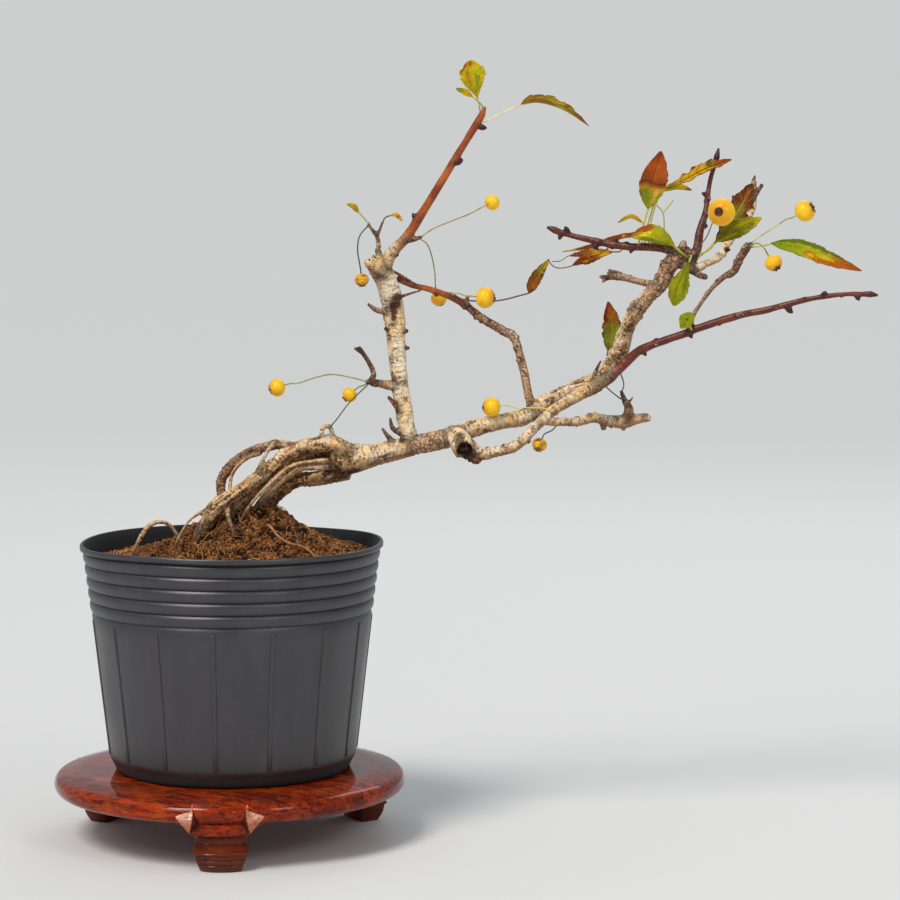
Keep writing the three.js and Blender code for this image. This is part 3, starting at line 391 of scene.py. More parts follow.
def bumped(height, depth, strength=1):
    """A surface normal from a height map; depth in millimetres."""
    return node("Bump", {"Height": height, "Distance": depth * MM, "Strength": strength}).outputs[0]


def spaced(inputs):
    """Inputs named with underscores for the spaces in a socket's name."""
    return {label.replace("_", " "): value for label, value in inputs.items()}


def laid_out(tree, recipe, sockets, *given):
    """Lays a recipe's nodes out in a tree, and links what it gives back to these sockets."""
    bench.append(tree)
    feed(sockets, recipe(*given))
    bench.pop()


def finish_from(name, recipe, **shader):
    """A material: the recipe links what varies, and what is the same all over is set on the shader."""
    material = bpy.data.materials.new(name)
    material.use_nodes = True
    principled = material.node_tree.nodes["Principled BSDF"]
    feed(principled.inputs, spaced(shader))
    laid_out(material.node_tree, recipe, principled.inputs)
    return material


def effect(name, inputs, outputs, recipe):
    """A shader node group with named inputs and outputs, for what several finishes share."""
    group = bpy.data.node_groups.new(name, "ShaderNodeTree")
    for label, kind in inputs:
        group.interface.new_socket(label, in_out="INPUT", socket_type="NodeSocket" + kind)
    for label in outputs:
        group.interface.new_socket(label, in_out="OUTPUT", socket_type="NodeSocketFloat")
    entry = group.nodes.new("NodeGroupInput")
    leave = group.nodes.new("NodeGroupOutput")
    laid_out(group, recipe, leave.inputs, entry.outputs)
    return group


def use(group, **inputs):
    """Places an effect in a material."""
    made = bench[-1].nodes.new("ShaderNodeGroup")
    made.node_tree = group
    feed(made.inputs, spaced(inputs))
    return made.outputs


PALE_FLOOR = finish_from("pale_floor", dict, Base_Color=(*FLOOR_SHADE, 1), Roughness=1, Specular_IOR_Level=0)
dress(floor, PALE_FLOOR)

# %% [markdown]
# ## An effect that two finishes share
#
# Neither lacquer nor moulded plastic is quite even. The same fine ripples break up the gloss of both, so they
# are one node group that puts out a height, and each material decides how much of it to take.

# %% Shared effect


def ripples(given):
    """Fine unevenness on a broader one."""
    fine = speckle(given["Where"], given["Scale"], detail=4)
    coarse = speckle(given["Where"], times(given["Scale"], 0.18))
    return {"Height": plus(times(fine, 0.4), coarse)}


RIPPLES = effect("fine_ripples", [("Where", "Vector"), ("Scale", "Float")], ["Height"], ripples)
print("effects:", [group.name for group in bpy.data.node_groups])

# %% [markdown]
# ## The stand
#
# A turned plate of rosewood-coloured hardwood with a rounded edge, carved in one with three short legs and
# lacquered until it shines. The plate is a profile, drawn point by point and spun. A leg is a stack of level
# sections, wide at the shoulder, nipped in above two narrow steps and tapering to the foot, and a narrow
# bevel takes the edge off each step. The legs are one leg copied, each copy turned about the plate's middle.

# %% Drawing and spinning a profile


def drawn_profile(name, points):
    """A line drawn as by hand: one vertex, extruded from place to place."""
    line = primitive("plane", size=MM, location=points[0])
    line.name = name
    bpy.ops.object.mode_set(mode="EDIT")
    bpy.ops.mesh.merge(type="CENTER")
    for before, after in zip(points, points[1:]):
        bpy.ops.mesh.extrude_vertices_move(TRANSFORM_OT_translate={"value": after - before})
    bpy.ops.object.mode_set(mode="OBJECT")
    return line


def turned(name, profile, steps, middle=0.0):
    """A closed shape spun about an upright axis, from (radius, height) pairs in millimetres."""
    piece = drawn_profile(name, [spot(middle + radius, 0, height) for radius, height in profile])
    settle(piece)
    bpy.ops.object.mode_set(mode="EDIT")
    bpy.ops.mesh.select_all(action="SELECT")
    bpy.ops.mesh.spin(steps=steps, angle=2 * math.pi, center=spot(middle, 0, 0), axis=(0, 0, 1))
    bpy.ops.mesh.select_all(action="SELECT")
    bpy.ops.mesh.remove_doubles(threshold=0.01 * MM)
    mend_normals()
    return piece


def skinned(name, rings):
    """A closed skin over rings of equally many points, its two ends capped."""
    count = len(rings[0])
    faces = [tuple(reversed(range(count)))]
    for i in range(len(rings) - 1):
        for k in range(count):
            after = (k + 1) % count
            faces.append((i * count + k, i * count + after, (i + 1) * count + after, (i + 1) * count + k))
    faces.append(tuple(range((len(rings) - 1) * count, len(rings) * count)))
    piece = primitive("plane", size=MM)
    piece.name = name
    build_mesh(piece, [point for ring in rings for point in ring], faces)
    bpy.ops.object.mode_set(mode="EDIT")
    mend_normals()
    return piece


# %% Plate
PLATE_RADIUS = 87.5
PLATE_UNDERSIDE = 20
PLATE_TOP = 35
EDGE_MIDDLE = 28.6
EDGE_HALF = 4.8
PLATE_MIDDLE = -1.5
PLATE_EDGE_STEPS = 14
PLATE_SPIN_STEPS = 160


def plate_profile():
    """From the middle of the underside, round the bullnose edge, to the middle of the top."""
    profile = [(0, PLATE_UNDERSIDE), (PLATE_RADIUS - 22, PLATE_UNDERSIDE)]
    for i in range(PLATE_EDGE_STEPS + 1):
        angle = math.radians(-80 + 160 * i / PLATE_EDGE_STEPS)
        out = PLATE_RADIUS - 5 + 5 * math.cos(angle) ** 0.8
        profile.append((out, EDGE_MIDDLE + EDGE_HALF * math.sin(angle)))
    profile += [(PLATE_RADIUS - 8, PLATE_TOP - 0.9), (PLATE_RADIUS - 12, PLATE_TOP - 0.2)]
    profile += [(PLATE_RADIUS - 16, PLATE_TOP), (0, PLATE_TOP)]
    return profile


plate = turned("stand_plate", plate_profile(), PLATE_SPIN_STEPS, PLATE_MIDDLE)
print("plate:", triangles(plate), "triangles")

# %% Legs
LEG_LEVELS = [
    # height, half width, outer face, inner face, all from the plate's middle
    (25.8, 36, 81.6, 58), (25, 30, 83, 58), (24.3, 24.6, 84, 58), (23.6, 21, 84.6, 59),
    (22.6, 18.2, 85, 60), (21.2, 15.9, 85.3, 61), (19.6, 14.5, 85.5, 62), (18.2, 13.8, 85.6, 62.8),
    (17.9, 13.4, 84.8, 63), (17.6, 13.1, 82.6, 63.2), (16, 12.7, 81, 64), (13.6, 12.4, 81.2, 65),
    (11.6, 12.6, 82.8, 66.4), (10.4, 12.9, 84.8, 67.4), (9.9, 13, 85.8, 68), (9.4, 13, 86.2, 68.4),
    (8.9, 12.9, 85.9, 68.7), (8.5, 12.6, 84.9, 69), (6.6, 12.1, 84.9, 69), (6.2, 11.8, 84.3, 69),
    (5.8, 11.7, 84.9, 69), (4.2, 11.3, 84.6, 69), (3.8, 11, 83.9, 69.1), (3.4, 10.9, 84.4, 69.2),
    (0.5, 10, 82.4, 70), (0, 9.6, 81.9, 70),
]
LEG_CORNERS = 13
LEG_TURN = -89.1
STAND_SHARP = 32


def leg_section(height, half, outer, inner):
    """A level slice through a leg: flat inside, gently rounded outside."""
    ring = [(inner, -half, height)]
    for k in range(LEG_CORNERS):
        side = -1 + 2 * k / (LEG_CORNERS - 1)
        ring.append((outer - 3.4 * abs(side) ** 2.6, half * side, height))
    ring.append((inner, half, height))
    return [spot(*point) for point in ring]


def shoulder_knob(side):
    """The carved knob beside a leg's shoulder: an upright ridge that runs out into the plate's edge."""
    top = (84.4, side * 12.2, 33.6)
    crest = (89.4, side * 12.6, 26.5)
    foot = (86.6, side * 14.2, 19.2)
    outside = (85.4, side * 21.4, 27.6)
    inside = (85, side * 9, 25)
    sunk = (74, side * 14, 24)
    knob = primitive("cube", size=MM)
    corners = [spot(*corner) for corner in (top, inside, crest, outside, sunk, foot)]
    faces = [(0, 1, 2), (0, 2, 3), (0, 3, 4), (0, 4, 1), (5, 2, 1), (5, 3, 2), (5, 4, 3), (5, 1, 4)]
    build_mesh(knob, corners, [face[::side] for face in faces])
    apply_modifier(knob, "BEVEL", width=0.45 * MM, segments=3, limit_method="ANGLE", angle_limit=0.2)
    # facet: 1 on outer faces, painted with a highlight; -1 on inner faces, painted with shade.
    paint_attribute(knob, "facet", np.clip(vertex_normals(knob)[:, 1] * side * 2.5, -1, 1))
    return knob


def leg():
    """One leg at the front, with the two knobs of its shoulder."""
    post = skinned("leg_post", [leg_section(*level) for level in LEG_LEVELS])
    apply_modifier(post, "BEVEL", width=0.2 * MM, segments=2, limit_method="ANGLE", angle_limit=0.6)
    whole = join([post, shoulder_knob(-1), shoulder_knob(1)], "stand_leg")
    shift = spot(PLATE_MIDDLE, 0, 0) - spot(0, 0, 0)
    set_points(whole, points_of(whole) + np.array(shift))
    return whole


def turned_copy(piece, degrees, about):
    """A copy with its own mesh, turned about an upright axis."""
    copy = piece.copy()
    copy.data = piece.data.copy()
    bpy.context.collection.objects.link(copy)
    turn = Matrix.Rotation(math.radians(degrees), 4, "Z")
    copy.data.transform(Matrix.Translation(about) @ turn @ Matrix.Translation(-about))
    return copy


first_leg = leg()
legs = [turned_copy(first_leg, LEG_TURN + 120 * i, spot(PLATE_MIDDLE, 0, 0)) for i in range(3)]
bpy.data.objects.remove(first_leg)
stand = join([plate] + legs, "display_stand")
smooth_shaded(stand, STAND_SHARP)
print("stand:", triangles(stand), "triangles")

# %% Lacquered wood


def lacquer():
    """Red-brown wood with dark slanting grain under thick clear lacquer; painted highlights and shade."""
    where = in_place()
    along = stretched(node("VectorRotate", {0: where, "Angle": 0.5}).outputs[0], 0.14, 1, 1.5)
    grain = speckle(along, 420, detail=7, rough=0.66, warp=0.7)
    pores = speckle(along, 1300, rough=0.6)
    height = height_of(where)
    facet = attribute("facet")
    # The pale colour of the painted highlight on the knobs' outer facets, broken by the grain.
    painted_highlight = mixed(band(grain, 0.4, 0.62), "FFE4CC", "D88E62")
    wood = layered(
        mixed(band(speckle(along, 60, warp=0.5), 0.34, 0.66), "6E1800", "A83406"),
        (band(grain, 0.44, 0.6, 0, 0.88), "340A03"),
        (band(pores, 0.58, 0.68, 0, 0.6), "1E0602"),
        (band(speckle(where, 75, detail=4), 0.52, 0.75, 0, 0.4), "CC5A18"),
        # Painted glints: small bright flecks in the lacquer's colour.
        (band(speckle(along, 1000, detail=4, rough=0.7), 0.6, 0.68, 0, 0.5), "D87840"),
        # Painted shade on the lower legs, under the plate.
        (band(height, 0.0165, 0.019, 0.68, 0), "4C281C"),
        # Painted highlight on the knobs' outer facets, warmer towards their foot.
        (
            times(band(facet, 0.3, 0.7), band(pores, 0.46, 0.66, 1, 0.4)),
            mixed(band(height, 0.0245, 0.03, 0.85, 0), painted_highlight, "A8542C"),
        ),
        # Painted shade on the knobs' inner facets.
        (band(facet, -0.7, -0.3, 0.75, 0), "2A0C06"),
    )
    wave = use(RIPPLES, Where=where, Scale=300)["Height"]
    slant = node("LayerWeight", {"Blend": 0.5}).outputs["Facing"]
    return {
        "Base Color": wood,
        "Roughness": band(wave, 0.4, 1, 0.25, 0.42),
        "Coat Weight": band(slant, 0.35, 0.85, 0.45, 1),
        "Normal": bumped(plus(wave, times(grain, 0.5)), 0.3, 0.5),
    }


LACQUER = finish_from("lacquered_rosewood", lacquer, Coat_Roughness=0.08, Specular_IOR_Level=0)
dress(stand, LACQUER)
place(stand, "stand")

# %% [markdown]
# ## The pot
#
# A thin blow-moulded nursery pot: five soft rolls under a turned-over lip, a plain wall with narrow upright
# ribs, and a bevelled foot. The whole shell is one spun profile, outside and inside. Such pots are never
# quite round, so a slow wave is put into the wall and the lip. The ribs are modelled once as a slim bar with
# rounded edges and copied round. The drain holes are drilled through the floor with a boolean.

# %% Shell
POT_BASE = 35.3
POT_HEIGHT = 113
RIM_RADIUS = 75
WALL_TOP_RADIUS = 73.4
RINGS_RADIUS = 69.5
RINGS_HEIGHT = 79
BEVEL_RADIUS = 61.5
BEVEL_HEIGHT = 7.5
FOOT_RADIUS = 58.5
WALL = 1.1
RING_DEPTH = 0.9
RINGS = 5
RING_STEPS = 9
POT_SPIN_STEPS = 240


def wall_radius(height):
    """The wall's outer radius at a height above the pot's base, without its rolls."""
    if height < RINGS_HEIGHT:
        up = (height - BEVEL_HEIGHT) / (RINGS_HEIGHT - BEVEL_HEIGHT)
        return BEVEL_RADIUS + (RINGS_RADIUS - BEVEL_RADIUS) * up
    up = (height - RINGS_HEIGHT) / (POT_HEIGHT - 3 - RINGS_HEIGHT)
    return RINGS_RADIUS + (WALL_TOP_RADIUS - RINGS_RADIUS) * up


def rolled_rings():
    """The five rolls, each a round back between two narrow grooves."""
    pitch = (POT_HEIGHT - 3.4 - RINGS_HEIGHT) / RINGS
    points = []
    for i in range(RINGS):
        for k in range(RING_STEPS):
            share = k / RING_STEPS
            height = RINGS_HEIGHT + (i + share) * pitch
            swell = abs(math.sin(math.pi * share)) ** 0.55
            points.append((wall_radius(height) - RING_DEPTH + (RING_DEPTH + 0.45) * swell, height))
    return points


def pot_profile():
    foot = ((-3, 0), (-1, 0.15), (0, 0.9), (0.5, 2.2))
    outside = [(0, 0)] + [(FOOT_RADIUS + out, up) for out, up in foot]
    outside += [(BEVEL_RADIUS - 0.5, BEVEL_HEIGHT - 1.4), (BEVEL_RADIUS, BEVEL_HEIGHT)]
    outside += [(wall_radius(h), h) for h in (9, 12, 20, 30, 40, 50, 60, 70, RINGS_HEIGHT - 1.6)]
    outside += rolled_rings()
    lip = POT_HEIGHT - 3.4
    outside += [(WALL_TOP_RADIUS - RING_DEPTH, lip), (RIM_RADIUS - 0.7, lip + 0.5), (RIM_RADIUS, lip + 1.1)]
    outside += [(RIM_RADIUS, lip + 2.7), (RIM_RADIUS - 0.3, lip + 3.2), (RIM_RADIUS - 0.9, lip + 3.4)]
    thick = WALL + RING_DEPTH
    inside = [(RIM_RADIUS - 1.8, lip + 3.2), (RIM_RADIUS - 2.4, lip + 2.4), (WALL_TOP_RADIUS - thick, lip)]
    inside += [(wall_radius(h) - thick, h) for h in (104, 99, 94, 89, 84, RINGS_HEIGHT)]
    inside += [(BEVEL_RADIUS - WALL, BEVEL_HEIGHT), (FOOT_RADIUS - WALL - 0.6, 1.2), (0, 1.2)]
    return [(radius, POT_BASE + height) for radius, height in outside + inside]


def out_of_round(point):
    """A slow wave that grows towards the lip, as a soft pot gets from the weight of its soil."""
    away = point - AXIS
    angle = math.atan2(away.y, away.x)
    up = min(1.0, max(0.0, (point.z / MM - POT_BASE) / POT_HEIGHT))
    swell = 1 + 0.004 * up * (math.sin(2 * angle + 0.6) + 0.6 * math.sin(3 * angle + 2.1))
    lift = 0.45 * MM * up ** 6 * (math.sin(3 * angle + 1.0) + 0.5 * math.sin(5 * angle))
    return Vector((AXIS.x + away.x * swell, AXIS.y + away.y * swell, point.z + lift))


shell = turned("pot_shell", pot_profile(), POT_SPIN_STEPS)
print("pot shell:", triangles(shell), "triangles")

# %% Drain holes
DRAIN_RADIUS = 8
SMALL_DRAIN_RADIUS = 4.5
SMALL_DRAIN_CIRCLE = 40
SMALL_DRAINS = 6
DRAIN_SIDES = 40
DRILL_LENGTH = 6


def drain_drill(x, y, radius):
    """A short round bar that stands through the pot's floor."""
    size = dict(vertices=DRAIN_SIDES, radius=radius * MM, depth=DRILL_LENGTH * MM)
    drill = primitive("cylinder", location=spot(x, y, POT_BASE), **size)
    settle(drill)
    return drill


drills = [drain_drill(0, 0, DRAIN_RADIUS)]
for i in range(SMALL_DRAINS):
    turn = 2 * math.pi * (i + 0.5) / SMALL_DRAINS
    x, y = SMALL_DRAIN_CIRCLE * math.cos(turn), SMALL_DRAIN_CIRCLE * math.sin(turn)
    drills.append(drain_drill(x, y, SMALL_DRAIN_RADIUS))
drill = join(drills, "drain_drill")
apply_modifier(shell, "BOOLEAN", object=drill, operation="DIFFERENCE")
bpy.data.objects.remove(drill)
print("drilled shell:", triangles(shell), "triangles")

# %% Ribs
RIBS = 15
RIB_WIDTH = 2.4
RIB_DEPTH = 1.6
FIRST_RIB = -93.5
POT_SHARP = 40


def wall_rib():
    """A slim bar that lies in the wall and stands half a millimetre out of it."""
    lean = math.atan2(RINGS_RADIUS - BEVEL_RADIUS, RINGS_HEIGHT - BEVEL_HEIGHT)
    length = RINGS_HEIGHT - BEVEL_HEIGHT - 3.6
    middle = BEVEL_HEIGHT + 1 + length / 2
    rib = primitive(
        "cube",
        size=MM,
        scale=(RIB_DEPTH, RIB_WIDTH, length),
        rotation=(0, lean, 0),
        location=spot(wall_radius(middle) - RIB_DEPTH / 2 + 0.5, 0, POT_BASE + middle),
    )
    settle(rib)
    apply_modifier(rib, "BEVEL", width=0.42 * MM, segments=3)
    return rib


first_rib = wall_rib()
ribs = [turned_copy(first_rib, FIRST_RIB + 360 / RIBS * i, AXIS) for i in range(RIBS)]
bpy.data.objects.remove(first_rib)
pot = join([shell] + ribs, "nursery_pot")
reshape(pot, out_of_round)
smooth_shaded(pot, POT_SHARP)
# inside is 1 on the inner wall, which the plastic paints near-black as shade.
outward = points_of(pot) - np.array(AXIS)
facing = (outward[:, :2] * vertex_normals(pot)[:, :2]).sum(axis=1)
paint_attribute(pot, "inside", (facing < -0.2 * np.linalg.norm(outward[:, :2], axis=1)).astype(float))

# %% Pot plastic


def pot_plastic():
    """Dark satin plastic: scuffed streaks, dust near the foot, painted shade on the inside and the foot."""
    where = in_place()
    height = height_of(where)
    cloud = speckle(where, 30, detail=4, rough=0.6)
    streak = speckle(stretched(where, 1, 1, 0.25), 120, detail=4)
    dust = band(speckle(where, 70, detail=5, rough=0.65), 0.545, 0.705)
    # Painted shade: the inner wall and the foot's bevel turn near-black, the bevel darkest at its bottom.
    inside = times(attribute("inside"), 0.97)
    shade = maths("MAXIMUM", inside, band(height, 0.036, 0.0432, 0.97, 0.3))
    shade = times(shade, maths("MAXIMUM", inside, band(height, 0.0425, 0.0435, 1, 0)))
    plastic = layered(
        mixed(band(streak, 0.4, 0.7), "272428", "302D33"),
        (band(cloud, 0.45, 0.7, 0, 0.5), "363239"),
        (times(times(dust, band(height, 0.036, 0.075, 1, 0)), 0.2), "6A5C50"),
        (shade, "060506"),
    )
    wave = use(RIPPLES, Where=where, Scale=420)["Height"]
    return {
        "Base Color": plastic,
        "Roughness": maths("MAXIMUM", band(cloud, 0.3, 0.9, 0.32, 0.52), shade),
        "Normal": bumped(wave, 0.18, 0.35),
    }


POT_PLASTIC = finish_from("satin_pot_plastic", pot_plastic, Specular_IOR_Level=0.75)
dress(pot, POT_PLASTIC)
place(pot, "pot")

# %% [markdown]
# ## The soil
#
# The pot is filled to a finger's breadth below its lip with a crumbly dark mix, heaped up under the roots.
# The body is a square grid bent into a disc, lifted by the mound's formula and broken up by noise, with its
# border drawn down into the pot. Loose crumbs and dry fibres lie on it: a crumb has only twenty faces and a
# fibre about thirty, because there are hundreds of each.

# %% Soil body
SOIL_LEVEL = 141
CROWN = 24
CROWN_X = 7
CROWN_SPREAD = 26
SOIL_RADIUS = 70.2
SOIL_CELLS = 240
SOIL_DEPTH = 60
SOIL_TAPER = 0.9


def soil_level(x, y):
    """Height of the smooth surface: a mound under the roots that runs down to the wall."""
    mound = CROWN * math.exp(-((x - CROWN_X) ** 2 + y * y) / (2 * CROWN_SPREAD ** 2))
    knoll = 3.5 * math.exp(-((x - 24) ** 2 + (y - 3) ** 2) / 90)
    return SOIL_LEVEL + mound + knoll + 0.02 * (x - math.hypot(x, y) + 40)


def clods(x, y):
    """Clods of a few millimetres with narrow gaps, painted dark as shade by the finish, and grit on top."""
    at = Vector((x, y, 0))
    lump = 2.0 * noise.noise(at * 0.13)
    clod = 3.0 * (0.5 - noise.voronoi(at * 0.3 + Vector((3, 1, 0)))[0][0])
    grit = 1.5 * noise.turbulence(at * 0.75, 3, True)
    return lump + clod + grit - 1.3


def disc_from_square(u, v):
    """A point of the square from -1 to 1, moved to its place in the disc."""
    return u * math.sqrt(1 - v * v / 2), v * math.sqrt(1 - u * u / 2)


def soil_point(point):
    across, back = disc_from_square(point.x, point.y)
    x, y = across * SOIL_RADIUS, back * SOIL_RADIUS
    calm = 1 - max(0.0, math.hypot(across, back) - 0.97) / 0.03
    return spot(x, y, soil_level(x, y) + clods(x, y) * calm)


soil = primitive("grid", x_subdivisions=SOIL_CELLS, y_subdivisions=SOIL_CELLS, size=2)
soil.name = "potting_soil"
reshape(soil, soil_point)
bpy.ops.object.mode_set(mode="EDIT")
bpy.ops.mesh.select_all(action="SELECT")
bpy.ops.mesh.region_to_loop()
bpy.ops.mesh.extrude_region_move(TRANSFORM_OT_translate={"value": (0, 0, -SOIL_DEPTH * MM)})
bpy.ops.transform.resize(value=(SOIL_TAPER, SOIL_TAPER, 1), center_override=AXIS)
bpy.ops.mesh.edge_face_add()
bpy.ops.object.mode_set(mode="OBJECT")
bpy.ops.object.shade_smooth()
print("soil body:", triangles(soil), "triangles")

# %% Crumbs and fibres
CRUMBS = 2600
FIBRES = 300
FIBRE_SIDES = 4
LITTER_RADIUS = 66
FIBRE_RADIUS = 64
FIBRE_EDGE = 68
litter = random.Random(41)


def tube(name, routes, sides):
    """Round strands through routes of (x, y, z, radius) points in millimetres, as one mesh."""
    curve = bpy.data.curves.new(name, "CURVE")
    curve.dimensions = "3D"
    curve.bevel_depth = MM
    curve.bevel_resolution = max(0, sides // 2 - 2)
    curve.use_fill_caps = True
    for route in routes:
        strand = curve.splines.new("POLY")
        strand.points.add(len(route) - 1)
        for point, (x, y, z, radius) in zip(strand.points, route):
            point.co = (*spot(x, y, z), 1)
            point.radius = radius
    piece = bpy.data.objects.new(name, curve)
    bpy.context.collection.objects.link(piece)
    only(piece)
    bpy.ops.object.convert(target="MESH")
    return bpy.context.object


def smooth_route(points, spacing):
    """A route's points carried on a centripetal Catmull-Rom curve, a sample every spacing millimetres."""
    points = [np.array(point, float) for point in points]
    fore = 2 * points[0] - points[1]
    aft = 2 * points[-1] - points[-2]
    chain = [fore] + points + [aft]
    samples = []
    for before, start, end, after in zip(chain, chain[1:], chain[2:], chain[3:]):
        gaps = [max(1e-4, np.linalg.norm((b - a)[:3])) ** 0.5
                for a, b in ((before, start), (start, end), (end, after))]
        leave = (start - before) / gaps[0] - (end - before) / (gaps[0] + gaps[1]) + (end - start) / gaps[1]
        arrive = (end - start) / gaps[1] - (after - start) / (gaps[1] + gaps[2]) + (after - end) / gaps[2]
        leave, arrive = leave * gaps[1], arrive * gaps[1]
        steps = max(1, round(np.linalg.norm((end - start)[:3]) / spacing))
        for step in range(steps):
            t = step / steps
            bend = (2 * start - 2 * end + leave + arrive) * t ** 3
            bow = (3 * end - 3 * start - 2 * leave - arrive) * t ** 2
            sample = start + leave * t + bow + bend
            sample[3:] = start[3:] + (end[3:] - start[3:]) * t
            samples.append(sample)
    samples.append(points[-1])
    return samples


def crumb(x, y):
    """A lump of soil, a squashed and knocked-about little ball of twenty faces."""
    size = litter.choice((0.35, 0.5, 0.7, 0.9, 1.3)) * litter.uniform(0.7, 1.2)
    centre = spot(x, y, soil_level(x, y) + clods(x, y) + 0.25 * size)
    turn = Quaternion((litter.random(), litter.random(), litter.random(), litter.random())).normalized()
    return centre, [size * litter.uniform(0.75, 1.25) for _ in range(3)], turn


def scatter_crumbs():
    """All crumbs in one mesh, each a copy of one small ball."""
    ball = primitive("ico_sphere", subdivisions=1, radius=MM)
    corners = [corner.co.copy() for corner in ball.data.vertices]
    sides = [tuple(face.vertices) for face in ball.data.polygons]
    points, faces = [], []
    for _ in range(CRUMBS):
        angle = litter.uniform(0, 2 * math.pi)
        radius = LITTER_RADIUS * math.sqrt(litter.random())
        centre, stretch, turn = crumb(radius * math.cos(angle), radius * math.sin(angle))
        start = len(points)
        for corner in corners:
            knock = litter.uniform(0.8, 1.2)
            points.append(centre + turn @ Vector(s * c * knock for s, c in zip(stretch, corner)))
        faces += [tuple(start + k for k in side) for side in sides]
    build_mesh(ball, points, faces)
    ball.name = "soil_crumbs"
    return ball


def fibre():
    """A dry root hair that lies over the clods, both ends tucked in."""
    angle = litter.uniform(0, 2 * math.pi)
    radius = FIBRE_RADIUS * math.sqrt(litter.uniform(0.02, 1))
    turn = litter.uniform(0, 2 * math.pi)
    length = litter.uniform(5, 17)
    bow = litter.uniform(-3, 3)
    thick = litter.choice((0.12, 0.16, 0.2, 0.3))
    route = []
    for along, side, lift in ((-0.5, 0, -1.2), (-0.2, 0.7, 0.9), (0.15, 1, 1.3), (0.5, 0, -1)):
        x = radius * math.cos(angle) + along * length * math.cos(turn) - side * bow * math.sin(turn)
        y = radius * math.sin(angle) + along * length * math.sin(turn) + side * bow * math.cos(turn)
        inward = min(1, FIBRE_EDGE / math.hypot(x, y))
        x, y = x * inward, y * inward
        route.append((x, y, soil_level(x, y) + max(-0.5, clods(x, y)) + lift, thick))
    return smooth_route(route, 2.5)


crumbs = scatter_crumbs()
fibres = tube("soil_fibres", [fibre() for _ in range(FIBRES)], FIBRE_SIDES)
print("crumbs:", triangles(crumbs), "fibres:", triangles(fibres))

# %% Soil finishes


def soil_mix():
    """Near-black moist peat, lighter flecks, a few rusty bark bits, and painted shade in the clods' gaps."""
    where = in_place()
    fine = speckle(where, 900, detail=6, rough=0.7)
    bits = node("TexVoronoi", {"Vector": where, "Scale": 520}).outputs["Color"]
    earth = layered(
        mixed(band(speckle(where, 200, detail=5, rough=0.6), 0.4, 0.58), "180D06", "5E3618"),
        (band(fine, 0.45, 0.6), "B87840"),
        (band(fine, 0.6, 0.7, 0, 0.85), "E8B880"),
        (band(node("SeparateColor", {0: bits}).outputs[0], 0.9, 0.94, 0, 0.6), "B06A3A"),
        # Painted shade in the gaps between the clods, darker where the surface is more sunk.
        (band(attribute("sunk"), 0.1, 1.1, 0, 0.94), "120704"),
    )
    return {"Base Color": earth, "Normal": bumped(fine, 0.9)}


def dry_fibre():
    where = in_place()
    straw = mixed(band(speckle(where, 60), 0.42, 0.62), "6E4222", "DC9E60")
    return {"Base Color": mixed(band(speckle(where, 500), 0.5, 0.8), straw, "4A2818")}


# sunk is how far a point lies below the mound's smooth surface, for the soil's painted shade.
paint_attribute(soil, "sunk", [-clods(*((point - np.array(AXIS))[:2] / MM)) for point in points_of(soil)])
SOIL_MIX = finish_from("damp_soil", soil_mix, Roughness=0.95, Specular_IOR_Level=0.2)
DRY_FIBRE = finish_from("dry_fibre", dry_fibre, Roughness=0.85, Specular_IOR_Level=0.3)
for piece, finish, solid in ((soil, SOIL_MIX, "soil"), (crumbs, SOIL_MIX, None), (fibres, DRY_FIBRE, None)):
    dress(piece, finish)
    place(piece, solid)

# %% [markdown]
# ## The wood
#
# Roots, trunk, branches and twigs grew as one piece, so they are one mesh. Each limb is a round strand along
# its own route of points, thick or thin as the limb is. A strand alone would only be stuck through its
# neighbour, so a voxel remesh melts all of them into one skin and a smoothing pass rounds the forks, as
# growing wood does. The bark's relief is then raised from that skin.
#
# After a remesh nothing is left of the single limbs, so every point looks up the limb whose surface passes
# nearest, and keeps that limb's age, girth and distance from its root end as attributes. Relief and colour
# both read them: rings run round a limb, young shoots stay smooth and red, old wood is pale and cracked.

